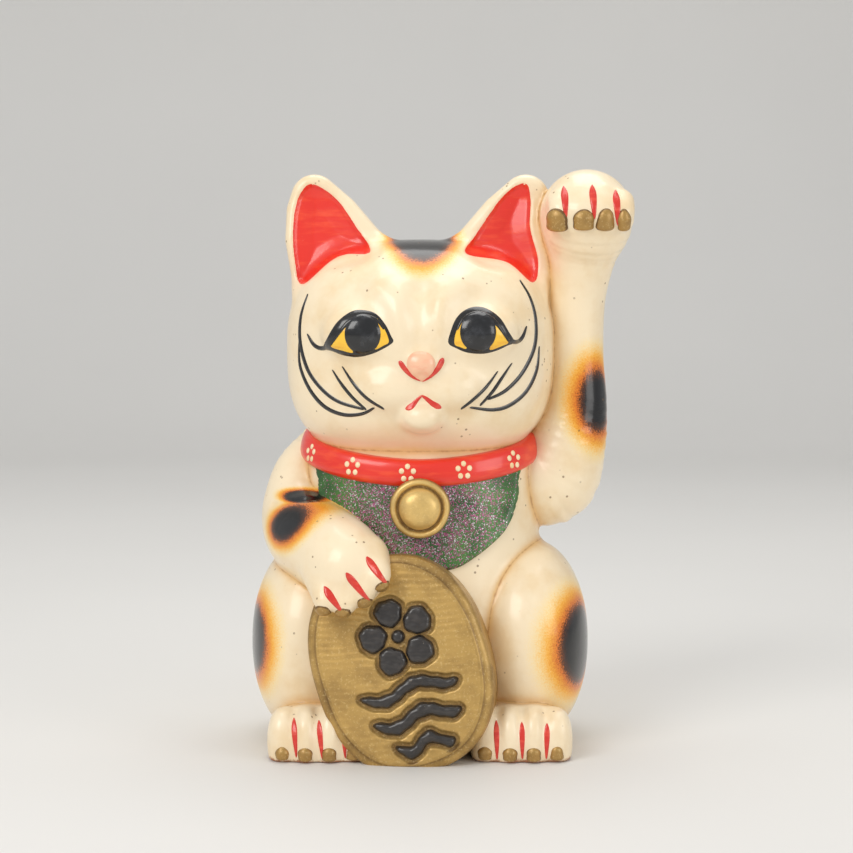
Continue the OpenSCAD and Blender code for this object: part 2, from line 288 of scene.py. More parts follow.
@dataclass(frozen=True)
class Block(Form):
    """A box with round edges."""

    centre: tuple[float, float, float]
    half: tuple[float, float, float]
    edge: float

    def distance(self, p: np.ndarray) -> np.ndarray:
        """Exact distances.

        Args:
            p: Points, one a row.

        Returns:
            The distances, negative inside.
        """
        past = np.abs(p - np.array(self.centre)) - np.array(self.half) + self.edge
        outer = np.linalg.norm(np.maximum(past, 0), axis=1)
        return outer + np.minimum(past.max(1), 0) - self.edge

    def bounds(self) -> tuple[np.ndarray, np.ndarray]:
        """The box itself."""
        return np.array(self.centre) - self.half, np.array(self.centre) + self.half


@dataclass(frozen=True)
class Cast(Form):
    """An upright body of oval level sections, whose half width and reach follow its height."""

    half: float
    front: float
    back: float
    height: float
    widths: tuple[tuple[float, float], ...]
    reaches: tuple[tuple[float, float], ...]
    flat: float = 2.2

    @staticmethod
    def _share(table: tuple[tuple[float, float], ...], at: np.ndarray) -> np.ndarray:
        """Reads a table of shares smoothly."""
        line = spline(table, 12 * len(table))
        return np.interp(at, line[:, 0], line[:, 1])

    def sizes(self, z: np.ndarray) -> tuple[np.ndarray, np.ndarray, np.ndarray]:
        """Half width, front reach and back reach at heights z.

        Args:
            z: Heights.

        Returns:
            The three sizes at each height.
        """
        at = z / self.height
        reach = self._share(self.reaches, at)
        return self.half * self._share(self.widths, at), self.front * reach, self.back * reach

    def distance(self, p: np.ndarray) -> np.ndarray:
        """Distances in the level section, closed at the top.

        Args:
            p: Points, one a row.

        Returns:
            The distances, negative inside.
        """
        wide, front, back = self.sizes(p[:, 2])
        deep = np.where(p[:, 1] < 0, front, back)
        q = ((np.abs(p[:, 0]) / wide) ** self.flat + (np.abs(p[:, 1]) / deep) ** self.flat)
        q = q ** (1 / self.flat)
        reach = np.hypot(p[:, 0], p[:, 1])
        side = np.where(q > 1e-6, reach * (1 - 1 / np.maximum(q, 1e-6)), -np.minimum(wide, deep))
        return soft_max(side, p[:, 2] - self.height, 6)

    def bounds(self) -> tuple[np.ndarray, np.ndarray]:
        """A box round the body."""
        return np.array([-self.half, -self.front, -20]), np.array([self.half, self.back, self.height])


@dataclass(frozen=True)
class Slab(Form):
    """An upright plate of an (x, z) outline, its thickness easing from its foot to its tip."""

    loop: tuple[tuple[float, float], ...]
    swell: float
    middle: float
    thick: tuple[float, float]
    edge: float

    def distance(self, p: np.ndarray) -> np.ndarray:
        """Distances from the swollen outline and the two faces, rounded together.

        Args:
            p: Points, one a row.

        Returns:
            The distances, negative inside.
        """
        loop = np.array(self.loop)
        plan = edge_distance(p[:, (0, 2)], loop) - self.swell
        low, high = loop[:, 1].min(), loop[:, 1].max()
        part = np.clip((p[:, 2] - low) / max(high - low, 1e-6), 0, 1)
        half = self.thick[0] + part * (self.thick[1] - self.thick[0])
        return soft_max(plan, np.abs(p[:, 1] - self.middle) - half, self.edge)

    def bounds(self) -> tuple[np.ndarray, np.ndarray]:
        """A box round the plate.

        Returns:
            Its lowest and highest corners.
        """
        loop = np.array(self.loop)
        low, high = loop.min(0) - self.swell, loop.max(0) + self.swell
        half = max(self.thick)
        return (
            np.array([low[0], self.middle - half, low[1]]),
            np.array([high[0], self.middle + half, high[1]]),
        )


Steps = list[tuple[Way, Form, float]]


@dataclass
class Casting:
    """One casting of the figure: forms that are joined to it, cut from it or sunk in it, in order.

    Each step has a number with it: the width of the rounded join, or the depth that is sunk.
    """

    name: str
    fillet: float
    steps: Steps
    margin: float = 14.0

    def bounds(self) -> tuple[np.ndarray, np.ndarray]:
        """A box round all the joined forms."""
        boxes = [form.bounds() for way, form, _ in self.steps if way is Way.JOIN]
        return np.min([b[0] for b in boxes], axis=0), np.max([b[1] for b in boxes], axis=0)

    def distance(self, p: np.ndarray) -> np.ndarray:
        """Signed distances, or FAR for points well away from the casting.

        Args:
            p: Points, one a row.

        Returns:
            One distance a point.
        """
        low, high = self.bounds()
        near = np.all((p > low - self.margin) & (p < high + self.margin), axis=1)
        out = np.full(len(p), FAR)
        if not near.any():
            return out
        q = p[near]
        found = self.steps[0][1].distance(q)
        for way, form, radius in self.steps[1:]:
            low, high = form.bounds()
            local = np.all((q > low - radius - 3) & (q < high + radius + 3), axis=1)
            if not local.any():
                continue
            own = form.distance(q[local])
            if way is Way.JOIN:
                found[local] = soft_min(found[local], own, radius)
            elif way is Way.CUT:
                found[local] = soft_max(found[local], -own, radius)
            else:
                found[local] += own * radius
        out[near] = found
        return out


@dataclass
class Figure:
    """Castings luted together, standing on the ground."""

    castings: list[Casting]
    ground: float = 1.5

    def apart(self, p: np.ndarray) -> np.ndarray:
        """Each casting's own distances, one column a casting."""
        return np.column_stack([casting.distance(p) for casting in self.castings])

    def distance(self, p: np.ndarray) -> np.ndarray:
        """Distances from the luted skin.

        Args:
            p: Points, one a row.

        Returns:
            The distances, negative inside.
        """
        found = None
        for casting in self.castings:
            own = casting.distance(p)
            found = own if found is None else soft_min(found, own, casting.fillet)
        return soft_max(found, -p[:, 2], self.ground)

    def slope(self, p: np.ndarray, reach: float = 0.05) -> np.ndarray:
        """The distance's gradient by central differences.

        Args:
            p: Points, one a row.
            reach: The step to each side.

        Returns:
            The gradients, one a row.
        """
        steps = np.eye(3) * reach
        return np.column_stack(
            [(self.distance(p + s) - self.distance(p - s)) / (2 * reach) for s in steps]
        )

    def normal(self, p: np.ndarray, reach: float = 0.4) -> np.ndarray:
        """Unit normals near the skin."""
        slope = self.slope(p, reach)
        return slope / np.maximum(np.linalg.norm(slope, axis=1), 1e-9)[:, None]

    def settle(self, p: np.ndarray, rounds: int = 2) -> np.ndarray:
        """Moves points onto the skin by Newton steps.

        Args:
            p: Points near the skin.
            rounds: How many steps.

        Returns:
            The moved points.
        """
        for _ in range(rounds):
            slope = self.slope(p)
            size = np.maximum((slope**2).sum(1), 0.05)
            move = -(self.distance(p) / size)[:, None] * slope
            length = np.linalg.norm(move, axis=1)
            p = p + move * np.minimum(1, 1.5 / np.maximum(length, 1e-9))[:, None]
        return p

    def press(self, flat: np.ndarray, start: float = -112.0, rounds: int = 90) -> np.ndarray:
        """Moves (x, z) points back along +Y from the front until they lie on the skin.

        Args:
            flat: Points of the front view, one a row.
            start: The y that they start from.
            rounds: How many steps to march.

        Returns:
            The points on the skin.
        """
        p = np.column_stack([flat[:, 0], np.full(len(flat), start), flat[:, 1]])
        for _ in range(rounds):
            p[:, 1] += np.clip(self.distance(p) * 0.7, -3, 9)
            p[:, 1] = np.minimum(p[:, 1], 60)
        return p


# ---- Meshes ----


@dataclass
class Net:
    """A quad mesh: its points, and its faces as point numbers."""

    points: np.ndarray
    faces: np.ndarray

    def edges(self) -> np.ndarray:
        """Each face side as a pair of points."""
        return np.vstack([self.faces[:, (i, (i + 1) % 4)] for i in range(4)])

    def relax(self, rounds: int = 4, push: float = 0.5, back: float = -0.53) -> None:
        """Smooths small kinks without shrinking the mesh.

        Args:
            rounds: How many times.
            push: The first move, as a share of the way to the neighbours.
            back: The second move, which undoes the shrinking.
        """
        pairs = self.edges()
        both = np.vstack([pairs, pairs[:, ::-1]])
        count = np.bincount(both[:, 0], minlength=len(self.points))[:, None]
        for _ in range(rounds):
            for share in (push, back):
                total = np.column_stack(
                    [
                        np.bincount(both[:, 0], self.points[both[:, 1], k], len(self.points))
                        for k in range(3)
                    ]
                )
                self.points = self.points + share * (total / np.maximum(count, 1) - self.points)


def untangled(values: np.ndarray) -> np.ndarray:
    """Turns over the least certain corner of each grid face whose corners' signs alternate.

    Args:
        values: Distances on a grid, which are changed in place.

    Returns:
        The distances, of which no mesh edge gets four faces.
    """
    for u, v in ((0, 1), (1, 2), (2, 0)) * 2:
        shifts = []
        for du, dv in ((0, 0), (1, 0), (1, 1), (0, 1)):
            shift = np.zeros(3, int)
            shift[u], shift[v] = du, dv
            shifts.append(shift)
        span = [n - (axis in (u, v)) for axis, n in enumerate(values.shape)]
        signs = [values[tuple(slice(s, s + n) for s, n in zip(shift, span))] < 0 for shift in shifts]
        crossed = (signs[0] == signs[2]) & (signs[1] == signs[3]) & (signs[0] != signs[1])
        for at in np.argwhere(crossed):
            ring = [tuple(at + shift) for shift in shifts]
            values[min(ring, key=lambda corner: abs(values[corner]))] *= -1
    return values


def net_of(figure: Figure, low: np.ndarray, high: np.ndarray, step: float) -> Net:
    """Meshes a figure's skin with quads (surface nets).

    Args:
        figure: The figure to mesh.
        low: The lowest corner of the grid.
        high: The highest corner of the grid.
        step: The grid's spacing.

    Returns:
        The closed quad mesh.
    """
    wide = 2 * step
    blocks = [np.arange(a, b + wide, wide) for a, b in zip(low, high)]
    axes = [a[0] + step * np.arange(2 * len(a) - 1) for a in blocks]
    shape = tuple(len(a) for a in axes)
    rough = np.stack(np.meshgrid(*blocks, indexing="ij"), axis=-1)
    coarse = figure.distance(rough.reshape(-1, 3)).reshape(rough.shape[:3])
    at = np.ix_(*[np.minimum((np.arange(n) + 1) // 2, len(a) - 1) for n, a in zip(shape, blocks)])
    values = coarse[at]
    todo = np.argwhere(np.abs(values) < 4.5 * wide)
    fine = low + step * todo
    values[tuple(todo.T)] = figure.distance(fine)
    inside = untangled(values) < 0
    corners = [(i, j, k) for i in (0, 1) for j in (0, 1) for k in (0, 1)]
    count = np.zeros(tuple(n - 1 for n in shape), int)
    for i, j, k in corners:
        count += inside[i : shape[0] - 1 + i, j : shape[1] - 1 + j, k : shape[2] - 1 + k]
    cells = np.argwhere((count > 0) & (count < 8))
    ids = np.full(count.shape, -1)
    ids[tuple(cells.T)] = np.arange(len(cells))
    total = np.zeros((len(cells), 3))
    hits = np.zeros(len(cells))
    for a in corners:
        for b in corners:
            if sum(abs(u - v) for u, v in zip(a, b)) != 1 or a > b:
                continue
            va = values[tuple((cells + a).T)]
            vb = values[tuple((cells + b).T)]
            cross = (va < 0) != (vb < 0)
            part = np.where(cross, va / np.where(cross, va - vb, 1), 0)[:, None]
            total += np.where(cross[:, None], np.array(a) + part * (np.array(b) - np.array(a)), 0)
            hits += cross
    origin = np.array([a[0] for a in axes])
    points = origin + step * (cells + total / hits[:, None])
    faces = []
    for axis in range(3):
        u, v = (axis + 1) % 3, (axis + 2) % 3
        first = [slice(1, n - 1) for n in shape]
        first[axis] = slice(0, shape[axis] - 1)
        second = list(first)
        second[axis] = slice(1, shape[axis])
        a, b = inside[tuple(first)], inside[tuple(second)]
        base = np.array([1, 1, 1])
        base[axis] = 0
        for out, mask in ((True, a & ~b), (False, ~a & b)):
            at = np.argwhere(mask) + base
            ring = []
            for du, dv in ((0, 0), (-1, 0), (-1, -1), (0, -1)):
                cell = at.copy()
                cell[:, u] += du
                cell[:, v] += dv
                ring.append(ids[tuple(cell.T)])
            quads = np.column_stack(ring)
            faces.append(quads if out else quads[:, ::-1])
    return Net(points, np.vstack(faces))


def add_mesh(
    name: str,
    points: np.ndarray,
    faces: Iterable[Sequence[int]],
    normals: np.ndarray | None = None,
    marks: dict[str, np.ndarray] | None = None,
) -> bpy.types.Object:
    """Makes an object of points in millimetres.

    Args:
        name: The piece's name.
        points: Its points, in millimetres.
        faces: Its faces, as point numbers.
        normals: Shading normals, one a point, or one a face corner.
        marks: Named values, one a point, for its finish to read.

    Returns:
        The object, in metres.
    """
    mesh = bpy.data.meshes.new(name)
    mesh.from_pydata((np.asarray(points) * MM).tolist(), [], [list(map(int, f)) for f in faces])
    mesh.validate()
    mesh.update()
    mesh.shade_smooth()
    for mark, values in (marks or {}).items():
        layer = mesh.attributes.new(mark, "FLOAT", "POINT")
        layer.data.foreach_set("value", np.asarray(values, np.float32))
    if normals is not None:
        if len(normals) == len(mesh.vertices):
            mesh.normals_split_custom_set_from_vertices(normals.tolist())
        else:
            mesh.normals_split_custom_set(normals.tolist())
    piece = bpy.data.objects.new(name, mesh)
    bpy.context.scene.collection.objects.link(piece)
    return piece


def place(piece: bpy.types.Object, body: str, slot: str, *nodes: str) -> bpy.types.Object:
    """Puts a piece on its body and hides the CAD nodes that it stands for.

    Args:
        piece: The piece.
        body: The body that it rides on.
        slot: Not used.
        nodes: The CAD nodes that it stands for.

    Returns:
        The piece.
    """
    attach(piece, body)
    if nodes:
        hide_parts(*nodes)
    LOG.info("%s: %d points, on %s", piece.name, len(piece.data.vertices), body)
    return piece


# ---- Finishes ----


class Wire:
    """A socket in a shader, or a plain number, that takes part in sums."""

    def __init__(self, shop: "Shop", source: bpy.types.NodeSocket | float) -> None:
        """Wraps a socket of the shop's tree."""
        self.shop = shop
        self.source = source

    def _sum(self, operation: str, *others: "Wire | float") -> "Wire":
        """Adds one Math node."""
        return self.shop.node("Math", {"operation": operation}, dict(enumerate((self, *others))))[0]

    def __add__(self, other: "Wire | float") -> "Wire":
        """Self plus other."""
        return self._sum("ADD", other)

    __radd__ = __add__

    def __mul__(self, other: "Wire | float") -> "Wire":
        """Self times other."""
        return self._sum("MULTIPLY", other)

    __rmul__ = __mul__

    def __sub__(self, other: "Wire | float") -> "Wire":
        """Self less other."""
        return self._sum("SUBTRACT", other)

    def __rsub__(self, other: float) -> "Wire":
        """Other less self."""
        return Wire(self.shop, other)._sum("SUBTRACT", self)

    def __truediv__(self, other: "Wire | float") -> "Wire":
        """Self over other."""
        return self._sum("DIVIDE", other)

    def least(self, other: "Wire | float") -> "Wire":
        """The smaller of two values."""
        return self._sum("MINIMUM", other)

    def ease(self, low: float, high: float) -> "Wire":
        """Eases from 0 at low to 1 at high, or the other way where low is the larger.

        Args:
            low: One end.
            high: The other end.

        Returns:
            The eased value.
        """
        ends = {1: min(low, high), 2: max(low, high), 3: float(low > high), 4: float(low < high)}
        kind = {"interpolation_type": "SMOOTHSTEP"}
        return self.shop.node("MapRange", kind, {0: self, **ends})[0]


Colour = tuple[float, float, float]


def tone(red: int, green: int, blue: int) -> Colour:
    """A colour of the usual 0 to 255 scale, as linear light.

    Args:
        red: Red.
        green: Green.
        blue: Blue.

    Returns:
        The colour.
    """
    def line(v: float) -> float:
        """One channel as linear light."""
        return v / 12.92 if v <= 0.04045 else ((v + 0.055) / 1.055) ** 2.4

    return line(red / 255), line(green / 255), line(blue / 255)


class Shop:
    """A material's node tree, in which a finish is mixed."""

    def __init__(self, name: str) -> None:
        """Starts a material with one Principled shader.

        Args:
            name: The material's name.
        """
        self.material = bpy.data.materials.new(name)
        self.material.use_nodes = True
        self.tree = self.material.node_tree
        self.tree.nodes.clear()
        self.out = self.tree.nodes.new("ShaderNodeOutputMaterial")
        self.skin = self.tree.nodes.new("ShaderNodeBsdfPrincipled")
        self.tree.links.new(self.skin.outputs[0], self.out.inputs[0])

    def _feed(self, socket: bpy.types.NodeSocket, value: "Wire | float | Colour") -> None:
        """Links or sets one socket.

        Args:
            socket: The socket.
            value: A wire, a number or a colour.
        """
        if isinstance(value, Wire):
            value = value.source
        if isinstance(value, bpy.types.NodeSocket):
            self.tree.links.new(value, socket)
        elif isinstance(value, (tuple, list)):
            socket.default_value = (*value, 1.0) if len(socket.default_value) == 4 else value
        else:
            socket.default_value = value

    def node(self, kind: str, settings: dict | None = None, values: dict | None = None) -> list[Wire]:
        """Adds a shader node.

        Args:
            kind: The node's type, without its ShaderNode prefix.
            settings: Its own settings, and stops for a ramp, which are set first.
            values: Numbers, colours or wires for its sockets, by name or place.

        Returns:
            Its outputs.
        """
        made = self.tree.nodes.new("ShaderNode" + kind)
        for name, value in (settings or {}).items():
            if name == "stops":
                ramp = made.color_ramp
                while len(ramp.elements) < len(value):
                    ramp.elements.new(0.5)
                for element, (at, colour) in zip(ramp.elements, value):
                    element.position = at
                    element.color = (*colour, 1.0)
            else:
                setattr(made, name, value)
        for name, value in (values or {}).items():
            self._feed(made.inputs[name], value)
        return [Wire(self, socket) for socket in made.outputs]

    def place(self) -> Wire:
        """The point being shaded, in metres from the origin, in the piece's own frame."""
        return self.node("TexCoord")[3]

    def mark(self, name: str) -> Wire:
        """A value that the mesh carries for each point."""
        return self.node("Attribute", {"attribute_name": name})[2]

    def noise(self, scale: float, detail: float = 3, rough: float = 0.5, at: Wire | None = None) -> Wire:
        """Cloudy noise from about 0.3 to 0.7, of scale cells a metre."""
        values = {"Vector": at or self.place(), "Scale": scale, "Detail": detail, "Roughness": rough}
        return self.node("TexNoise", None, values)[0]

    def mix(self, share: Wire | float, a: Wire | Colour, b: Wire | Colour, how: str = "MIX") -> Wire:
        """Mixes colour a to colour b."""
        kind = {"data_type": "RGBA", "blend_type": how}
        return self.node("Mix", kind, {0: share, 6: a, 7: b})[2]

    def stretched(self, x: float, y: float, z: float) -> Wire:
        """The place, with each axis scaled."""
        return self.node("VectorMath", {"operation": "MULTIPLY"}, {0: self.place(), 1: (x, y, z)})[0]

    def away(self, centre: Sequence[float], radii: Sequence[float]) -> Wire:
        """How many radii the place lies from a centre, both in millimetres.

        Args:
            centre: The centre.
            radii: The radii along the three axes.

        Returns:
            The distance.
        """
        shift = self.node(
            "VectorMath", {"operation": "SUBTRACT"}, {0: self.place(), 1: tuple(v * MM for v in centre)}
        )[0]
        scale = tuple(1 / (r * MM) for r in radii)
        sized = self.node("VectorMath", {"operation": "MULTIPLY"}, {0: shift, 1: scale})[0]
        return self.node("VectorMath", {"operation": "LENGTH"}, {0: sized})[1]

    def bump(self, height: Wire, depth_mm: float, strength: float = 1.0) -> Wire:
        """A normal from a height, where 1 stands depth_mm high."""
        return self.node("Bump", None, {"Height": height, "Distance": depth_mm * MM, "Strength": strength})[0]

    def finish(self, **sockets: "Wire | float | Colour") -> bpy.types.Material:
        """Sets the Principled shader's sockets, with _ for a space in their names.

        Args:
            sockets: Numbers, colours or wires, by socket.

        Returns:
            The material.
        """
        for name, value in sockets.items():
            self._feed(self.skin.inputs[name.replace("_", " ")], value)
        return self.material


@dataclass(frozen=True)
class Spot:
    """One airbrushed spot: a black heart, whose orange and yellow glow fades out over some millimetres."""

    centre: tuple[float, float, float]
    radii: tuple[float, float, float]
    glow: float = 13.0

    @property
    def spread(self) -> float:
        """The glow's width as a share of the spot's mean radius."""
        return self.glow / (sum(self.radii) / 3)


@dataclass(frozen=True)
class Lacquer:
    """Cold-painted cream under aged lacquer, with the cat's spots on it, and ochre and painted shade in its
    creases.
    """

    cream: Colour = tone(248, 229, 195)
    shade: Colour = tone(237, 209, 163)
    ochre: Colour = tone(222, 170, 88)
    deep: Colour = tone(166, 106, 48)
    blush: Colour = tone(242, 196, 160)
    yellow: Colour = tone(253, 216, 120)
    amber: Colour = tone(248, 178, 54)
    orange: Colour = tone(222, 118, 26)
    brown: Colour = tone(84, 44, 20)
    black: Colour = tone(13, 12, 12)
    speck: Colour = tone(120, 88, 52)
    clay: Colour = tone(176, 120, 84)
    spots: tuple[Spot, ...] = ()
    blushes: tuple[Spot, ...] = ()

    def make(self) -> bpy.types.Material:
        """Mixes the finish.

        Returns:
            The material.
        """
        shop = Shop("cream_lacquer")
        cloud = shop.noise(38, 4, 0.6)
        fine = shop.noise(260, 3, 0.6)
        colour = shop.mix(cloud.ease(0.42, 0.72) * 0.75, self.cream, self.shade)
        for blush in self.blushes:
            far = shop.away(blush.centre, blush.radii)
            colour = shop.mix((far + (cloud - 0.5) * 0.5).ease(1, 0.2) * 0.55, colour, self.blush)
        # Painted shade: where the crease mark is high, at the joints between castings, the cream turns ochre
        # and then deep brown. This is partly the figure's own airbrushed ochre and partly painted shade in
        # the creases.
        crease = shop.mark("crease")
        sunk = (crease + (cloud - 0.5) * 0.35).ease(0.2, 0.95)
        colour = shop.mix(sunk * 0.7, colour, self.ochre)
        colour = shop.mix((crease + (fine - 0.5) * 0.5).ease(0.84, 1.08) * 0.6, colour, self.deep)
        nearest: Wire | None = None
        dark: Wire | float = 0.0
        for spot in self.spots:
            own = (shop.away(spot.centre, spot.radii) - 1) / spot.spread
            nearest = own if nearest is None else nearest.least(own)
        if nearest is not None:
            sprayed = nearest + (cloud - 0.5) * 0.3 + (shop.noise(1300, 2, 0.8) - 0.5) * 0.5
            stops = (
                (0.1, self.black), (0.24, self.brown), (0.36, self.orange), (0.55, self.amber),
                (0.8, self.yellow),
            )
            ring = shop.node("ValToRGB", {"stops": stops}, {0: (sprayed + 0.35) / 1.35})[0]
            colour = shop.mix(sprayed.ease(1.0, 0.3), colour, ring)
            dark = sprayed.ease(0.2, 0.0)
        dots = shop.node("TexVoronoi", {"feature": "F1"}, {"Vector": shop.place(), "Scale": 210.0})
        sparse = shop.node("TexNoise", None, {"Vector": shop.place(), "Scale": 70.0, "Detail": 2.0})[0]
        speck = dots[0].ease(0.16, 0.09) * sparse.ease(0.54, 0.62)
        colour = shop.mix(speck * 0.75, colour, self.speck)
        low = shop.node("SeparateXYZ", None, {0: shop.place()})[2]
        worn = (low + (fine - 0.5) * 0.006).ease(0.0022, 0.0004)
        colour = shop.mix(worn, colour, self.clay)
        rough = 0.28 + cloud * 0.2 + speck * 0.2 + worn * 0.4 - dark * 0.14
        height = fine * 0.35 + cloud * 0.65 - speck * 0.4
        normal = shop.bump(height, 0.32, 0.6)
        return shop.finish(
            Base_Color=colour, Roughness=rough, Normal=normal, Coat_Weight=0.4, Coat_Roughness=0.14,
            IOR=1.43,
        )


@dataclass(frozen=True)
class Enamel:
    """Brushed-on colour under lacquer: red, black or pink."""

    name: str
    colour: Colour
    streak: Colour
    grit: float = 0.25
    rough: float = 0.22
    streaks: tuple[float, float, float] = (120.0, 120.0, 420.0)

    def make(self) -> bpy.types.Material:
        """Mixes the finish.

        Returns:
            The material.
        """
        shop = Shop(self.name)
        brush = shop.noise(1.0, 3, 0.55, shop.stretched(*self.streaks))
        cloud = shop.noise(60, 3)
        colour = shop.mix(brush.ease(0.45, 0.75) * 0.7, self.colour, self.streak)
        chips = shop.noise(420, 3, 0.7).ease(0.68, 0.76) * self.grit
        colour = shop.mix(chips, colour, tone(246, 226, 190))
        rough = self.rough + cloud * 0.2
        normal = shop.bump(brush * 0.7 + cloud * 0.5, 0.3, 0.6)
        return shop.finish(
            Base_Color=colour, Roughness=rough, Normal=normal, Coat_Weight=0.5, Coat_Roughness=0.1
        )


@dataclass(frozen=True)
class Gilt:
    """Gold paint: powder in lacquer, darker where it is worn, and darkened in its hollows, grooves and edges
    by tarnish and painted shade.
    """

    name: str
    gold: Colour
    dark: Colour
    metal: float = 0.45
    rough: float = 0.4

    def make(self) -> bpy.types.Material:
        """Mixes the finish.

        Returns:
            The material.
        """
        shop = Shop(self.name)
        cloud = shop.noise(75, 4, 0.6)
        grain = shop.noise(900, 2, 0.6)
        # Painted shade with tarnish: the mark darkens the gold in moats, grooves, rims and at the feet of the
        # claws.
        patina = (shop.mark("patina") + (cloud - 0.5) * 0.6).ease(0.25, 0.95)
        colour = shop.mix(cloud.ease(0.4, 0.7) * 0.35, self.gold, self.dark)
        colour = shop.mix(patina * 0.9, colour, self.dark)
        colour = shop.mix(grain.ease(0.55, 0.7) * 0.25, colour, tone(248, 222, 160))
        rough = self.rough + cloud * 0.2 + patina * 0.15
        normal = shop.bump(grain * 0.35 + cloud * 0.8, 0.3, 0.7)
        return shop.finish(
            Base_Color=colour, Roughness=rough, Metallic=self.metal, Normal=normal, Coat_Weight=0.25,
            Coat_Roughness=0.2,
        )


@dataclass(frozen=True)
class Glitter:
    """Green lacquer strewn with silver, pink and gold flakes, with a painted sheen towards the bell and
    painted shade at the rim.
    """

    name: str = "glitter_green"
    heart: tuple[float, float, float] = (0.0, -50.0, 123.0)

    def make(self) -> bpy.types.Material:
        """Mixes the finish.

        Returns:
            The material.
        """
        shop = Shop(self.name)
        cells = shop.node("TexVoronoi", {"feature": "F1"}, {"Vector": shop.place(), "Scale": 2000.0})
        parts = shop.node("SeparateColor", None, {0: cells[1]})
        # Painted sheen with glitter: the flakes thicken towards the bell, partly the bib's own glitter and
        # partly a painted sheen.
        near = shop.away(self.heart, (44, 34, 36)).ease(1.25, 0.3)
        cloud = shop.noise(85, 4)
        # Painted shade with the bib's own edge colour: the ground darkens and the flakes thin towards the
        # rim.
        edge = shop.mark("patina")
        cover = 0.14 + near * 0.46 + (cloud - 0.5) * 0.6 - edge * 0.15
        flake = (cover - parts[0]).ease(-0.03, 0.05)
        kinds = ((0.0, tone(152, 50, 104)), (0.4, tone(206, 104, 158)), (0.6, tone(112, 84, 92)),
                 (0.8, tone(178, 160, 168)), (0.95, tone(240, 228, 236)))
        ramp = shop.node("ValToRGB", {"stops": kinds}, {0: parts[1]})[0]
        ground = shop.mix(cloud.ease(0.35, 0.7), tone(40, 84, 32), tone(72, 130, 48))
        ground = shop.mix(edge.ease(0.45, 1) * 0.75, ground, tone(34, 50, 28))
        colour = shop.mix(flake * 0.9, ground, ramp)
        normal = shop.bump(parts[2] * flake + cloud, 0.3, 0.8)
        return shop.finish(
            Base_Color=colour, Roughness=0.46 - flake * 0.16, Metallic=flake * 0.4, Normal=normal,
            Coat_Weight=0.35, Coat_Roughness=0.15,
        )


@dataclass(frozen=True)
class Clay:
    """Bare low-fired pottery, with slip wiped over it."""

    name: str = "bare_clay"

    def make(self) -> bpy.types.Material:
        """Mixes the finish.

        Returns:
            The material.
        """
        shop = Shop(self.name)
        cloud = shop.noise(60, 5, 0.65)
        grit = shop.noise(800, 3, 0.7)
        colour = shop.mix(cloud, tone(150, 92, 60), tone(206, 152, 112))
        colour = shop.mix(grit.ease(0.55, 0.72) * 0.5, colour, tone(232, 204, 170))
        normal = shop.bump(grit + cloud * 0.6, 0.4, 0.8)
        return shop.finish(Base_Color=colour, Roughness=0.8 + cloud * 0.15, Normal=normal)


@dataclass(frozen=True)
class Rubber:
    """Grey moulded rubber, dusty and scuffed."""

    name: str = "grey_rubber"

    def make(self) -> bpy.types.Material:
        """Mixes the finish.

        Returns:
            The material.
        """
        shop = Shop(self.name)
        dust = shop.noise(130, 4, 0.6)
        grain = shop.noise(1500, 2)
        colour = shop.mix(dust.ease(0.4, 0.75), tone(58, 58, 60), tone(104, 101, 96))
        normal = shop.bump(grain + dust * 0.4, 0.12, 0.6)
        return shop.finish(Base_Color=colour, Roughness=0.62 + dust * 0.25, Normal=normal)


class Coat(Enum):
    """The finishes that the figure's pieces wear."""

    CREAM = "cream"
    RED = "red"
    LINE = "line"
    BLACK = "black"
    RELIEF = "relief"
    PINK = "pink"
    YELLOW = "yellow"
    IRIS = "iris"
    BLOSSOM = "blossom"
    COIN = "coin"
    BELL = "bell"
    CLAW = "claw"
    GLITTER = "glitter"
    CLAY = "clay"
    RUBBER = "rubber"


@dataclass
class Palette:
    """Every finish of the figure, mixed once."""

    spots: tuple[Spot, ...]
    blushes: tuple[Spot, ...]
    made: dict[Coat, bpy.types.Material] = field(default_factory=dict)

    def __post_init__(self) -> None:
        """Mixes them all."""
        band = (60.0, 90.0, 300.0)
        even = (160.0, 160.0, 160.0)
        finishes = {
            Coat.CREAM: Lacquer(spots=self.spots, blushes=self.blushes),
            Coat.RED: Enamel("red_enamel", tone(234, 44, 24), tone(248, 84, 42), 0.12, 0.24, band),
            Coat.LINE: Enamel("red_line", tone(214, 44, 30), tone(236, 92, 66), 0.15),
            Coat.BLACK: Enamel("black_enamel", tone(20, 18, 17), tone(46, 42, 39), 0.2, 0.16),
            Coat.RELIEF: Enamel("relief_enamel", tone(38, 33, 30), tone(66, 60, 56), 0.22, 0.3),
            Coat.PINK: Enamel("pink_enamel", tone(250, 196, 160), tone(246, 166, 132), 0.2),
            Coat.YELLOW: Enamel("yellow_enamel", tone(254, 200, 52), tone(240, 168, 40), 0.1),
            Coat.IRIS: Enamel("iris_enamel", tone(15, 15, 17), tone(66, 68, 72), 0.1, 0.12, even),
            Coat.BLOSSOM: Enamel("blossom_dots", tone(250, 228, 186), tone(240, 200, 130), 0.2),
            Coat.COIN: Gilt("coin_gold", tone(198, 160, 90), tone(108, 78, 36), 0.5, 0.36),
            Coat.BELL: Gilt("bell_gold", tone(226, 190, 116), tone(118, 84, 44), 0.45, 0.32),
            Coat.CLAW: Gilt("claw_gold", tone(176, 138, 74), tone(108, 78, 40), 0.4, 0.36),
            Coat.GLITTER: Glitter(),
            Coat.CLAY: Clay(),
            Coat.RUBBER: Rubber(),
        }
        self.made = {coat: finish.make() for coat, finish in finishes.items()}

    def dress(self, piece: bpy.types.Object, coat: Coat) -> None:
        """Gives a piece one finish."""
        piece.data.materials.clear()
        piece.data.materials.append(self.made[coat])


# ---- Sizes from the frame ----


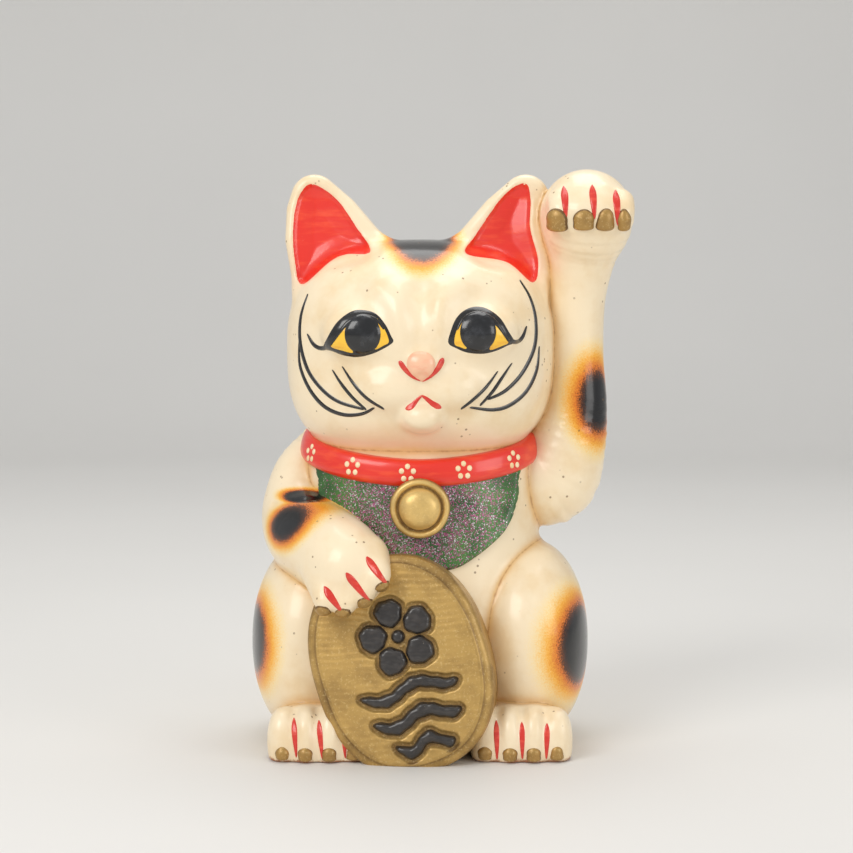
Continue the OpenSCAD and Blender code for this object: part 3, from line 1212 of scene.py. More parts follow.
@dataclass(frozen=True)
class Span:
    """The room that one or more CAD nodes take, in millimetres."""

    low: np.ndarray
    high: np.ndarray

    @classmethod
    def of(cls, *nodes: str) -> "Span":
        """Reads the nodes' boxes.

        Args:
            nodes: The nodes' names.

        Returns:
            The room that they take together.
        """
        boxes = [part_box(node) for node in nodes]
        low = np.min([list(b[0]) for b in boxes], axis=0) / MM
        high = np.max([list(b[1]) for b in boxes], axis=0) / MM
        return cls(low, high)

    @property
    def size(self) -> np.ndarray:
        """Its width, depth and height."""
        return self.high - self.low

    @property
    def middle(self) -> np.ndarray:
        """Its centre."""
        return (self.high + self.low) / 2


@dataclass(frozen=True)
class Plan:
    """Where the big castings stand, worked out from the frame."""

    torso: Span
    head: Span
    raised: Span
    lowered: Span
    foot: Span
    haunch: Span
    coin: Span
    collar: Span
    bell: Span
    plate: Span
    tail: Span

    @classmethod
    def read(cls) -> "Plan":
        """Reads every span.

        Returns:
            The plan.
        """
        names = dict(
            torso="torso_shell", head="head_shell", raised="raised_arm", lowered="lowered_arm",
            foot="right_foot", haunch="right_haunch", coin="coin", collar="collar", bell="bell",
            plate="base_plate", tail="tail",
        )
        return cls(**{key: Span.of(node) for key, node in names.items()})

    @property
    def half(self) -> float:
        """The torso's half width."""
        return self.torso.size[0] / 2

    @property
    def cheek(self) -> float:
        """The head's half width."""
        return self.head.size[0] / 2

    @property
    def eyes(self) -> float:
        """The height of the head's middle, where the eyes' upper lids are."""
        return self.collar.low[2] + 68

    @property
    def arm(self) -> float:
        """How far the raised forearm's middle is from the cat's own middle."""
        return self.cheek + 12


# ---- The figure's castings ----


@dataclass(frozen=True)
class Stencil(Form):
    """An (x, z) outline that presses a hollow into the skin that faces the front."""

    loop: tuple[tuple[float, float], ...]
    cone: float = 0.0

    def distance(self, p: np.ndarray) -> np.ndarray:
        """How far each point lies inside the outline, as a share from 0 to 1 of the hollow's depth."""
        edge = edge_distance(p[:, (0, 2)], np.array(self.loop))
        return smoothstep(0.6, -1.6, edge) * (1 + self.cone * np.clip(-edge / 10, 0, 1)) * (p[:, 1] < 4)

    def bounds(self) -> tuple[np.ndarray, np.ndarray]:
        """A box round the outline.

        Returns:
            Its lowest and highest corners.
        """
        loop = np.array(self.loop)
        low, high = loop.min(0), loop.max(0)
        return np.array([low[0], -60, low[1]]), np.array([high[0], 0, high[1]])


# The hollows of the ears as seen from the front, x and z in the cat's frame.
EAR_LEFT = ((-54.5, 284), (-42.7, 276.5), (-32.3, 262), (-25, 250), (-37.2, 248.6), (-45.1, 245.2),
            (-59.8, 233.5), (-63.6, 246), (-64.6, 258), (-63.6, 271), (-60.4, 280))
EAR_RIGHT = ((53.5, 284.4), (56.3, 276), (56, 262), (60, 245), (57, 234.5), (43.8, 244.7), (23.3, 249.1),
             (28.1, 257.8), (42.7, 278.2))


@dataclass
class Sculptor:
    """Models the cat in clay: every casting as forms, placed by the plan."""

    plan: Plan

    def trunk(self) -> Casting:
        """The seated body up to the neck.

        Returns:
            The casting.
        """
        p = self.plan
        widths = ((0, 0.9), (0.14, 1), (0.37, 0.99), (0.6, 0.95), (0.79, 0.92), (0.87, 0.9), (0.94, 0.85),
                  (1, 0.74))
        reaches = ((0, 0.88), (0.14, 0.99), (0.37, 0.98), (0.6, 0.91), (0.79, 0.86), (0.87, 0.83),
                   (0.94, 0.78), (1, 0.68))
        body = Cast(p.half, -p.torso.low[1], p.torso.high[1], 165, widths, reaches)
        return Casting("torso_shell", 0, [(Way.JOIN, body, 0)])

    def slot(self) -> Block:
        """The coin slot in the back of the head."""
        return Block((0, self.plan.head.high[1] + 1.5, self.plan.eyes + 16.5), (19, 11, 2.5), 0.6)

    def head(self) -> Casting:
        """The head with its ears, brow, muzzle and chin.

        Returns:
            The casting.
        """
        p = self.plan
        z = p.eyes
        skull = Lump((0, -6, z), (p.cheek, 53, 53.7), 2.3, 2.5, 59, 3)
        steps: Steps = [(Way.JOIN, skull, 0)]
        for side in (-1, 1):
            ear = ((side * 53, z + 33), (side * 56.8, z + 54), (side * 56.2, z + 68), (side * 54, z + 74.8),
                   (side * 42.5, z + 65), (side * 28, z + 48))
            steps.append((Way.JOIN, Slab(ear, 12, 0, (15, 6.5), 5), 8))
        for side in (-1, 1):
            steps.append((Way.JOIN, Lump((side * 28, -50.5, z + 8), (20, 12.5, 14)), 7))
            brow = ((side * 7, -56.5, z - 1, 5), (side * 6.5, -58, z + 11, 6.5), (side * 9.5, -55, z + 21, 7),
                    (side * 17, -48, z + 28, 6.5))
            steps.append((Way.JOIN, Limb(brow, 12), 10))
            steps.append((Way.JOIN, Lump((side * 13, -50.5, z - 19), (18, 12.5, 12)), 6))
        steps.append((Way.JOIN, Lump((1, -57.5, z - 7), (9.5, 9, 8.5)), 5))
        valley = ((0, -70, z + 6, 5), (0, -68.5, z + 17, 6), (0, -62, z + 30, 5))
        steps.append((Way.CUT, Limb(valley, 6), 8))
        mouth = ((-10, -64.5, z - 30, 1.4), (-3.6, -65.4, z - 26, 1.8), (1, -65.6, z - 23.4, 1.8),
                 (5.6, -65.4, z - 26, 1.8), (12, -64.5, z - 30, 1.4))
        steps.append((Way.CUT, Limb(mouth, 8), 4))
        steps.append((Way.JOIN, Lump((1, -53.5, z - 33), (11.5, 11, 8.6)), 3))
        chin = ((-12, -60, z - 35, 1.2), (-6.5, -62, z - 41.5, 1.8), (1, -62, z - 44, 1.9),
                (8.5, -62, z - 41.5, 1.8), (14, -60, z - 35, 1.2))
        steps.append((Way.CUT, Limb(chin, 8), 5))
        lip = ((1, -66.4, z - 13, 2), (1, -64.8, z - 18, 2.4), (1, -63.6, z - 24, 2.2))
        steps.append((Way.CUT, Limb(lip, 5), 4))
        for side in (-1, 1):
            steps.append((Way.CUT, Lump((side * 44, -38, z + 59), (26, 24, 19)), 5))
        steps.append((Way.CUT, self.slot(), 1.2))
        for loop in (EAR_LEFT, EAR_RIGHT):
            smooth = tuple(map(tuple, outline(loop, 3)))
            steps.append((Way.SINK, Stencil(smooth, 1.4), 1.7))
        return Casting("head_shell", 5, steps)

    def raised(self) -> Casting:
        """The beckoning arm with its paw.

        Returns:
            The casting.
        """
        p = self.plan
        x, top = p.arm, p.raised.high[2]
        elbow = p.raised.low[2] + 23
        joints = (
            (p.half - 20, 5, elbow + 2, 24), (x - 13, 1, elbow - 3, 23.5), (x - 4.5, -1, elbow + 15, 20.5),
            (x, -2, elbow + 36, 16.3), (x, -2, elbow + 62, 14.3), (x, -3, elbow + 92, 15.2),
            (x + 2.5, -7, elbow + 116, 18.5), (x + 4.5, -12, top - 27, 23),
            (x + 4.5, -12.5, top - 23.8, 23.6),
        )
        steps: Steps = [(Way.JOIN, Limb(joints, 32), 0)]
        for k in range(4):
            at = x - 9.5 + 10.2 * k
            low = abs(k - 1.5)
            finger = ((at, -27 + low, top - 14 - 2 * low, 6.4), (at, -32.5 + 1.5 * low, top - 21, 6.3),
                      (at, -32 + 1.5 * low, top - 27 + low, 6))
            steps.append((Way.JOIN, Limb(finger, 5), 5))
        return Casting("raised_arm", 3, steps)

    def lowered(self) -> Casting:
        """The arm that holds the coin.

        Returns:
            The casting.
        """
        top = self.plan.lowered.high[2]
        joints = (
            (-46, 9, top - 19, 20), (-54, 5, top - 30, 22.5), (-59, -4, top - 43, 22),
            (-58.5, -16, top - 51, 22), (-55, -30, top - 55, 21.5), (-48, -44, top - 58, 21),
            (-40, -57, top - 62, 21), (-35.5, -63, top - 66, 21),
        )
        fold = ((-75, -26, 122.5, 1.2), (-68, -36, 126, 1.7), (-58, -39, 128, 1.8), (-49, -37, 127, 1.2))
        steps: Steps = [
            (Way.JOIN, Limb(joints, 28), 0), (Way.CUT, Limb(fold, 8), 3.5)
        ]
        toes = ((-46.5, 82.5), (-37, 81), (-28, 86.5), (-20.5, 94))
        for x, z in toes:
            finger = ((x - 3, -66, z + 9, 6.5), (x, -76.5, z + 1.5, 6.4), (x + 0.6, -79.5, z - 1, 5.6))
            steps.append((Way.JOIN, Limb(finger, 5), 5))
        return Casting("lowered_arm", 3.5, steps)

    def haunch(self, name: str, side: int) -> Casting:
        """One thigh.

        Args:
            name: The casting's name.
            side: -1 for the left, 1 for the right.

        Returns:
            The casting.
        """
        p = self.plan
        high = p.haunch.high[2]
        x = p.haunch.high[0] - 31
        thigh = Lump((side * x, -9, high / 2), (31, 50, high / 2), 2.2, 2.15)
        return Casting(name, 5, [(Way.JOIN, thigh, 0)])

    def foot(self, name: str, side: int) -> Casting:
        """One foot with four toes.

        Args:
            name: The casting's name.
            side: -1 for the left, 1 for the right.

        Returns:
            The casting.
        """
        p = self.plan
        x = side * (p.haunch.high[0] - 36)
        front = p.foot.low[1]
        steps: Steps = [
            (Way.JOIN, Block((x, front + 32, 7.5), (23, 29, 18), 16), 0)
        ]
        for k in (-1.5, -0.5, 0.5, 1.5):
            toe = Lump((x + 11.6 * k, front + 12 + 0.9 * k * k, 9), (7.8, 12, 16), 2.3, 2.4)
            steps.append((Way.JOIN, toe, 5))
        for k in (-1, 0, 1):
            at = x + 11.8 * k
            groove = ((at, front - 0.8, 1, 1.4), (at, front - 0.4, 12, 1.5), (at, front + 4, 21, 1.4),
                      (at, front + 12, 25.5, 1.1))
            steps.append((Way.CUT, Limb(groove, 8), 4))
        return Casting(name, 2.5, steps)

    def tail(self) -> Casting:
        """The short tail against the back.

        Returns:
            The casting.
        """
        t = self.plan.tail
        x, y = t.middle[0], t.high[1] - 10
        joints = ((x - 8, y - 3, 11, 10), (x - 3, y, 21, 10), (x + 4, y - 1, 31, 9.5), (x + 5, y - 5, 37, 8))
        return Casting("tail", 3, [(Way.JOIN, Limb(joints, 10), 0)])

    def figure(self) -> Figure:
        """All the castings, in the order they are luted on.

        Returns:
            The whole figure.
        """
        head = self.head()
        return Figure(
            [
                self.trunk(), self.haunch("left_haunch", -1), self.haunch("right_haunch", 1),
                self.foot("left_foot", -1), self.foot("right_foot", 1), self.tail(), self.lowered(), head,
                self.raised(),
            ]
        )


@dataclass
class Kiln:
    """Turns the modelled figure into separate closed castings."""

    figure: Figure
    slot: Block
    seat: Span
    wall: float = 2.4
    step: float = GRID_STEP
    crease: float = 4.4

    def _net(self) -> Net:
        """Meshes the whole skin smoothly.

        Returns:
            The skin's mesh.
        """
        boxes = [casting.bounds() for casting in self.figure.castings]
        low = np.min([b[0] for b in boxes], axis=0) - 3 * self.step
        high = np.max([b[1] for b in boxes], axis=0) + 3 * self.step
        low[2] = -3 * self.step - 0.37
        net = net_of(self.figure, low, high, self.step)
        net.points = self.figure.settle(net.points, 2)
        net.relax(3)
        net.points = self.figure.settle(net.points, 1)
        return net

    def _slide(self, points: np.ndarray, pairs: np.ndarray, reach: float = 0.05) -> np.ndarray:
        """Slides seam points over the skin to where two castings are equally near.

        Args:
            points: The seam's points.
            pairs: The two castings of each point.
            reach: The step for slopes.

        Returns:
            The moved points.
        """
        def gap(q: np.ndarray) -> np.ndarray:
            """How much nearer the second casting is.

            Args:
                q: Points, one a row.

            Returns:
                The differences.
            """
            apart = self.figure.apart(q)
            rows = np.arange(len(q))
            return apart[rows, pairs[:, 0]] - apart[rows, pairs[:, 1]]

        for _ in range(2):
            normal = self.figure.normal(points)
            slope = np.column_stack(
                [(gap(points + s) - gap(points - s)) / (2 * reach) for s in np.eye(3) * reach]
            )
            slope -= (slope * normal).sum(1)[:, None] * normal
            size = np.maximum((slope**2).sum(1), 0.2)
            move = -(gap(points) / size)[:, None] * slope
            length = np.linalg.norm(move, axis=1)
            points = points + move * np.minimum(1, 0.45 * self.step / np.maximum(length, 1e-9))[:, None]
            points = self.figure.settle(points, 1)
        return points

    def fire(self) -> list[bpy.types.Object]:
        """Makes one closed piece for each casting.

        Returns:
            The pieces.
        """
        net = self._net()
        apart = self.figure.apart(net.points)
        label = apart[net.faces].mean(1).argmin(1)
        mid = net.points[net.faces].mean(1)
        seat = np.abs(mid[:, :2] - self.seat.middle[:2]) / (self.seat.size[:2] / 2)
        label = np.where((mid[:, 2] < 0.4) & ((seat**2.2).sum(1) < 1), -1, label)
        past = np.abs(mid - np.array(self.slot.centre)) < np.array(self.slot.half) + 1
        label = np.where(past.all(1) & (mid[:, 1] < self.slot.centre[1] - 6), -1, label)
        least = np.full(len(net.points), len(self.figure.castings))
        most = np.full(len(net.points), -1)
        for corner in net.faces.T:
            np.minimum.at(least, corner, label)
            np.maximum.at(most, corner, label)
        seam = np.flatnonzero((least != most) & (least >= 0))
        net.points[seam] = self._slide(net.points[seam], np.column_stack([least[seam], most[seam]]))
        # The crease mark is near 1 where two castings meet. The cream finish turns it into ochre and painted
        # shade in the joints.
        apart = np.sort(self.figure.apart(net.points), axis=1)
        crease = np.exp(-np.maximum(apart[:, 1] - apart[:, 0], 0) / self.crease)
        crease *= smoothstep(0.5, 4, net.points[:, 2])
        normals = self.figure.normal(net.points, 1.5)
        pieces = []
        for index, casting in enumerate(self.figure.castings):
            faces = net.faces[label == index]
            if len(faces):
                pieces.append(self._piece(casting.name, net.points, normals, faces, crease))
        return pieces

    @staticmethod
    def _unpinched(rows: list[list[int]], count: int) -> tuple[np.ndarray, np.ndarray]:
        """Gives a patch a copy of each point where two of its corners only touch.

        Args:
            rows: The patch's faces.
            count: How many points it has.

        Returns:
            The faces, and the old number of each of their points.
        """
        source = list(range(count))
        while True:
            sides = {(row[i], row[(i + 1) % 4]): k for k, row in enumerate(rows) for i in range(4)}
            rim = [side for side in sides if side[::-1] not in sides]
            pinched = [point for point, times in Counter(a for a, _ in rim).items() if times > 1]
            if not pinched:
                return np.array(rows), np.array(source)
            point = pinched[0]
            for side in [side for side in rim if side[0] == point][1:]:
                while side in sides:
                    row = rows[sides[side]]
                    corner = row.index(point)
                    row[corner] = len(source)
                    side = (point, row[corner - 1])
                source.append(source[point])

    def _piece(
        self, name: str, points: np.ndarray, normals: np.ndarray, faces: np.ndarray, crease: np.ndarray
    ) -> bpy.types.Object:
        """Closes one patch of the skin with an inner wall and a rim.

        Args:
            name: The CAD node that the piece stands for.
            points: The whole skin's points.
            normals: Their normals.
            faces: The patch's faces.
            crease: How near each point is to a joint.

        Returns:
            The closed piece.
        """
        used, flat = np.unique(faces, return_inverse=True)
        faces, source = self._unpinched(flat.reshape(-1, 4).tolist(), len(used))
        used = used[source]
        count = len(used)
        outer = points[used]
        inner = outer - normals[used] * self.wall
        sides = np.vstack([faces[:, (i, (i + 1) % 4)] for i in range(4)])
        known = {tuple(s) for s in sides.tolist()}
        rim = [(b, a, a + count, b + count) for a, b in known if (b, a) not in known]
        every = faces.tolist() + (faces[:, ::-1] + count).tolist() + rim
        corners = [normals[used][faces.ravel()], -normals[used][faces[:, ::-1].ravel()]]
        both = np.vstack([outer, inner])
        for quad in rim:
            a, b, c, d = both[list(quad)]
            across = np.cross(c - a, d - b)
            corners.append(np.repeat([across / max(np.linalg.norm(across), 1e-9)], 4, axis=0))
        marks = {"crease": np.concatenate([crease[used]] * 2)}
        piece = add_mesh("cat_" + name, both, every, np.vstack(corners), marks)
        return place(piece, "cat", "cream_lacquer", name)


# ---- Paint films and small relief ----


def filled(loop: np.ndarray, step: float, inset: float) -> tuple[np.ndarray, list[list[int]]]:
    """Fills an outline with triangles round an even grid.

    Args:
        loop: The outline's points.
        step: The grid's spacing.
        inset: How far inside the outline the grid stays, in steps.

    Returns:
        The plane points, and the faces.
    """
    low, high = loop.min(0), loop.max(0)
    across, along = np.arange(low[0], high[0], step), np.arange(low[1], high[1], step * 0.866)
    grid = np.array([(x + (k % 2) * step / 2, y) for k, y in enumerate(along) for x in across])
    grid = grid[edge_distance(grid, loop) < -step * inset]
    every = [Vector(p) for p in np.vstack([loop, grid])]
    made = delaunay_2d_cdt(every, [], [list(range(len(loop)))], 1, 1e-6)
    return np.array([tuple(v) for v in made[0]]), [list(f) for f in made[2]]


def backed(flat: np.ndarray, faces: list[list[int]]) -> list[list[int]]:
    """Gives a sheet's faces an underside and a rim, where the underside's points follow the sheet's.

    Args:
        flat: The sheet's plane points.
        faces: Its faces.

    Returns:
        All the faces.
    """
    first = [flat[i] for i in faces[0][:3]]
    if np.cross(first[1] - first[0], first[2] - first[0]) < 0:
        faces = [f[::-1] for f in faces]
    count = len(flat)
    known = {(f[i], f[(i + 1) % len(f)]) for f in faces for i in range(len(f))}
    rim = [[b, a, a + count, b + count] for a, b in known if (b, a) not in known]
    return faces + [[i + count for i in f[::-1]] for f in faces] + rim


def ringed(levels: int, count: int, looped: bool = False) -> list[list[int]]:
    """Faces between rings of points that follow one another.

    Args:
        levels: How many rings there are.
        count: How many points each has.
        looped: Whether the last ring meets the first.

    Returns:
        The faces.
    """
    faces = []
    for k in range(levels if looped else levels - 1):
        here, there = k * count, (k + 1) % levels * count
        for i in range(count):
            j = (i + 1) % count
            faces.append([here + i, here + j, there + j, there + i])
    return faces


@dataclass
class Brush:
    """Lays thin closed films of paint or slip on a skin, as seen from the front."""

    skin: Figure
    step: float = 1.1
    root: float = 0.45

    def film(
        self, loop: np.ndarray, rise: float, edge: float = 1.2, rim: float = 0.0, hem: float = 2.0,
        base: float = 0.04,
    ) -> tuple[np.ndarray, list, dict[str, np.ndarray]]:
        """Fills an outline with a low dome.

        Args:
            loop: The outline in (x, z), evenly spaced.
            rise: How proud the film stands.
            edge: How wide its rounded edge is.
            rim: How much prouder its rim stands.
            hem: The rim's width.
            base: How high its very edge stands, which is more where it lies on another film.

        Returns:
            Points, faces and marks.
        """
        flat, faces = filled(loop, self.step, 0.55)
        away = np.maximum(-edge_distance(flat, loop), 0)
        height = rise * np.sqrt(1 - (1 - np.clip(away / edge, 0, 1)) ** 2)
        height += rim * np.exp(-(((away - hem) / hem) ** 2) * 3) * (away > 0.01)
        # The edge mark is high at the film's edge, where the bib's finish paints shade.
        return (*self._close(flat, faces, height + base), {"patina": np.tile(np.exp(-away / 2.2), 2)})

    def stroke(
        self, line: Sequence, rise: float = 0.35, across: int = 7, ends: float = 1.0
    ) -> tuple[np.ndarray, list, dict[str, np.ndarray]]:
        """Lays one brush stroke.

        Args:
            line: Its middle as (x, z, width).
            rise: How proud it stands.
            across: How many points it has from side to side.
            ends: How far from each end the stroke narrows, in widths.

        Returns:
            Points, faces and marks.
        """
        dense = spline(line, 24 * len(line))
        path = evenly(dense, 0.9, axes=2)
        run = run_of(path[:, :2])
        to_end = np.minimum(run, run[-1] - run) / np.maximum(path[:, 2] * ends, 1e-6)
        width = path[:, 2] * np.sqrt(np.clip(1 - (1 - np.clip(to_end + 0.06, 0, 1)) ** 2, 0.02, 1))
        tangent = np.gradient(path[:, :2], axis=0)
        tangent /= np.linalg.norm(tangent, axis=1)[:, None]
        side = np.column_stack([-tangent[:, 1], tangent[:, 0]])
        at = np.linspace(-1, 1, across)
        shift = side[:, None] * (width[:, None, None] / 2 * at[None, :, None])
        flat = (path[:, None, :2] + shift).reshape(-1, 2)
        faces = []
        for i in range(len(path) - 1):
            for j in range(across - 1):
                a = i * across + j
                faces.append([a, a + 1, a + across + 1, a + across])
        height = np.tile(rise * np.sqrt(np.clip(1 - at**2, 0, 1)), len(path)) + 0.04
        return (*self._close(flat, faces, height), {"patina": np.zeros(2 * len(flat))})

    def _close(self, flat: np.ndarray, faces: list, height: np.ndarray) -> tuple[np.ndarray, list]:
        """Presses a flat sheet on the skin and gives it an underside.

        Args:
            flat: Its (x, z) points.
            faces: Its faces.
            height: Each point's height above the skin.

        Returns:
            The closed film's points and faces.
        """
        on = self.skin.press(flat)
        normal = self.skin.normal(on, 0.6)
        top = on + normal * height[:, None]
        under = on - normal * self.root
        return np.vstack([top, under]), backed(flat, faces)


def gathered(name: str, parts: Sequence[tuple]) -> bpy.types.Object:
    """Joins films of one colour into one piece.

    Args:
        name: The piece's name.
        parts: Each film's points, faces and marks.

    Returns:
        The piece.
    """
    points, faces, marks, start = [], [], {}, 0
    for part_points, part_faces, part_marks in parts:
        points.append(part_points)
        faces += [[i + start for i in f] for f in part_faces]
        for key, values in part_marks.items():
            marks.setdefault(key, []).append(values)
        start += len(part_points)
    joined = {key: np.concatenate(values) for key, values in marks.items()}
    piece = add_mesh(name, np.vstack(points), faces, None, joined)
    piece.data.set_sharp_from_angle(angle=math.radians(50))
    return piece


@dataclass
class Face:
    """The painted face and ears."""

    brush: Brush
    palette: Palette

    def _lay(self, name: str, coat: Coat, parts: Sequence[tuple]) -> None:
        """Makes one colour's films into a piece.

        Args:
            name: The piece's name.
            coat: Its finish.
            parts: Its films.
        """
        piece = gathered(name, parts)
        place(piece, "cat", "cream_lacquer")
        self.palette.dress(piece, coat)

    def ears(self) -> None:
        """The red inside of each ear."""
        parts = [self.brush.film(outline(loop, 1.2), 0.4, 1.2) for loop in (EAR_LEFT, EAR_RIGHT)]
        self._lay("ear_insides", Coat.RED, parts)

    def eyes(self) -> None:
        """Black lids, white slivers, black irises and a lash for each eye."""
        film, stroke = self.brush.film, self.brush.stroke
        lid_left = ((-47.7, 202.8), (-45, 209), (-40.4, 216.1), (-34, 221), (-28.2, 222), (-21.6, 220.3),
                    (-16.9, 215.2), (-14, 209.5), (-13, 206.5), (-18, 203), (-24.4, 200.2), (-31, 198.9),
                    (-37.6, 199.7), (-43.2, 201.6))
        lid_right = ((14, 206), (15, 211.4), (17.8, 218), (22.5, 222.2), (28.1, 223.6), (33.7, 222.2),
                     (39.4, 218), (43.6, 211.4), (46.5, 206), (43, 204.4), (37.5, 202), (31, 200.6),
                     (23.4, 201.2), (17.8, 203.4))
        lids = [film(outline(lid, 0.8), 0.45) for lid in (lid_left, lid_right)]
        self._lay("eye_lids", Coat.BLACK, lids)
        whites = (
            ((-43.4, 204.4), (-40.5, 208.6), (-37.6, 212), (-35.4, 213.6), (-34.6, 209), (-34.4, 205),
             (-32.6, 201.4), (-38, 202.4)),
            ((-21.2, 218), (-17.6, 213.6), (-15, 207), (-17.8, 204.8), (-22, 203), (-21, 207), (-20.4, 212)),
            ((17, 205.6), (17.6, 211), (21.2, 218), (22, 212), (21.6, 207.6), (23, 203.4), (19.6, 204.2)),
            ((36.4, 214.6), (40, 211), (43.2, 206.4), (40, 204.6), (34.2, 202.8), (35.6, 207), (36, 211)),
        )
        self._lay("eye_yellows", Coat.YELLOW, [film(outline(w, 0.7), 0.25, 0.8, base=0.5) for w in whites])
        round_ = np.linspace(0, math.tau, 60, endpoint=False)
        discs = []
        for x, z in ((-27.8, 210.3), (28.4, 211.4)):
            loop = np.column_stack([x + 8.7 * np.cos(round_), z + 9.4 * np.sin(round_)])
            discs.append(film(loop, 0.9, 5.0, base=0.75))
        self._lay("eye_irises", Coat.IRIS, discs)
        arcs = (
            ((-43.6, 204.6, 1.2), (-39.6, 210.4, 2), (-34.6, 216.2, 2.4), (-28, 218.8, 2.4),
             (-21.6, 217.4, 2), (-17.4, 212.6, 1.4)),
            ((18.2, 212.4, 1.4), (21.8, 218, 2), (28.2, 220.4, 2.4), (34.8, 218, 2.4), (39.8, 212.2, 2),
             (43.4, 206.4, 1.2)),
        )
        self._lay("eye_upper_lids", Coat.BLACK, [stroke(line, 0.9, 7) for line in arcs])
        lashes = (
            ((-44.6, 203.6, 2.4), (-49.4, 202.6, 2.2), (-53.1, 204.6, 1.9), (-56, 209.4, 0.8)),
            ((43.6, 207.2, 2.4), (47.9, 205.9, 2.2), (51, 208.2, 1.9), (53, 213.4, 0.8)),
        )
        self._lay("eye_lashes", Coat.BLACK, [stroke(line, 0.45) for line in lashes])

    def whiskers(self) -> None:
        """Four black whiskers on each cheek."""
        lines = (
            ((-56, 229, 0.5), (-59.6, 217.7, 1.2), (-59.8, 204.5, 1.5), (-55.8, 191.3, 1.6),
             (-48.3, 181.8, 1.6), (-39.8, 176.1, 1.5), (-27.5, 172.8, 1.1)),
            ((-60.4, 205, 0.5), (-60, 193.1, 1.3), (-55, 181.7, 1.6), (-47.4, 173.4, 1.7), (-38, 169.8, 1.6),
             (-28.5, 170.5, 1.4), (-22.3, 173.9, 1)),
            ((-43.3, 192.1, 0.6), (-38.6, 185, 1.3), (-33, 178.4, 1.4), (-26.4, 172.6, 1)),
            ((-38.3, 194, 0.6), (-33, 186, 1.3), (-26.4, 178.9, 1.4), (-17.5, 173.2, 1)),
            ((49.8, 236, 0.5), (55.1, 227.2, 1.1), (57.9, 215.9, 1.4), (57.1, 202.6, 1.6), (51, 190.4, 1.6),
             (42.5, 181.8, 1.5), (33.5, 177.6, 1.1)),
            ((59.6, 203, 0.5), (58.4, 191.2, 1.4), (53, 180.7, 1.6), (44.5, 174.2, 1.7), (35.9, 172.3, 1.5),
             (24.6, 173.9, 1)),
            ((45.6, 195.4, 0.6), (40.4, 187.9, 1.3), (35.7, 181.2, 1.4), (29.6, 174.6, 1)),
            ((38.5, 191.6, 0.6), (32.9, 184.1, 1.3), (26.3, 177.9, 1.4), (20.2, 173.2, 1)),
        )
        bold = [tuple((x, z, 1.2 * wide) for x, z, wide in line) for line in lines]
        self._lay("whiskers", Coat.BLACK, [self.brush.stroke(line, 0.4, 5) for line in bold])

    def nose(self) -> None:
        """The pink nose, the red nostrils and the red mouth."""
        nose = ((0.8, 202), (4.6, 201), (7.2, 198), (7.4, 194), (5.2, 190), (1, 187), (-3.4, 190),
                (-6.2, 194.4), (-5.8, 198.6), (-3.2, 201.4))
        self._lay("nose_tip", Coat.PINK, [self.brush.film(outline(nose, 0.8), 0.8, 3)])
        lines = (
            ((-10, 197.2, 2.6), (-7.4, 193.4, 2.5), (-3.8, 189.8, 1.7), (0.2, 187.6, 0.9)),
            ((11.4, 198.6, 2.9), (9.2, 194, 2.7), (5.8, 190.2, 1.8), (1.4, 187.2, 0.9)),
            ((-6.8, 173.4, 3.2), (-3.8, 175.2, 2.7), (-1, 178.2, 1.7), (1.1, 180.2, 1)),
            ((10.4, 174, 3.2), (6.6, 176, 2.7), (3.2, 178.6, 1.9), (0.9, 180.2, 1)),
        )
        self._lay("nose_lines", Coat.LINE, [self.brush.stroke(line, 0.5) for line in lines])

    def build(self) -> None:
        """Paints the whole face."""
        self.ears()
        self.eyes()
        self.whiskers()
        self.nose()


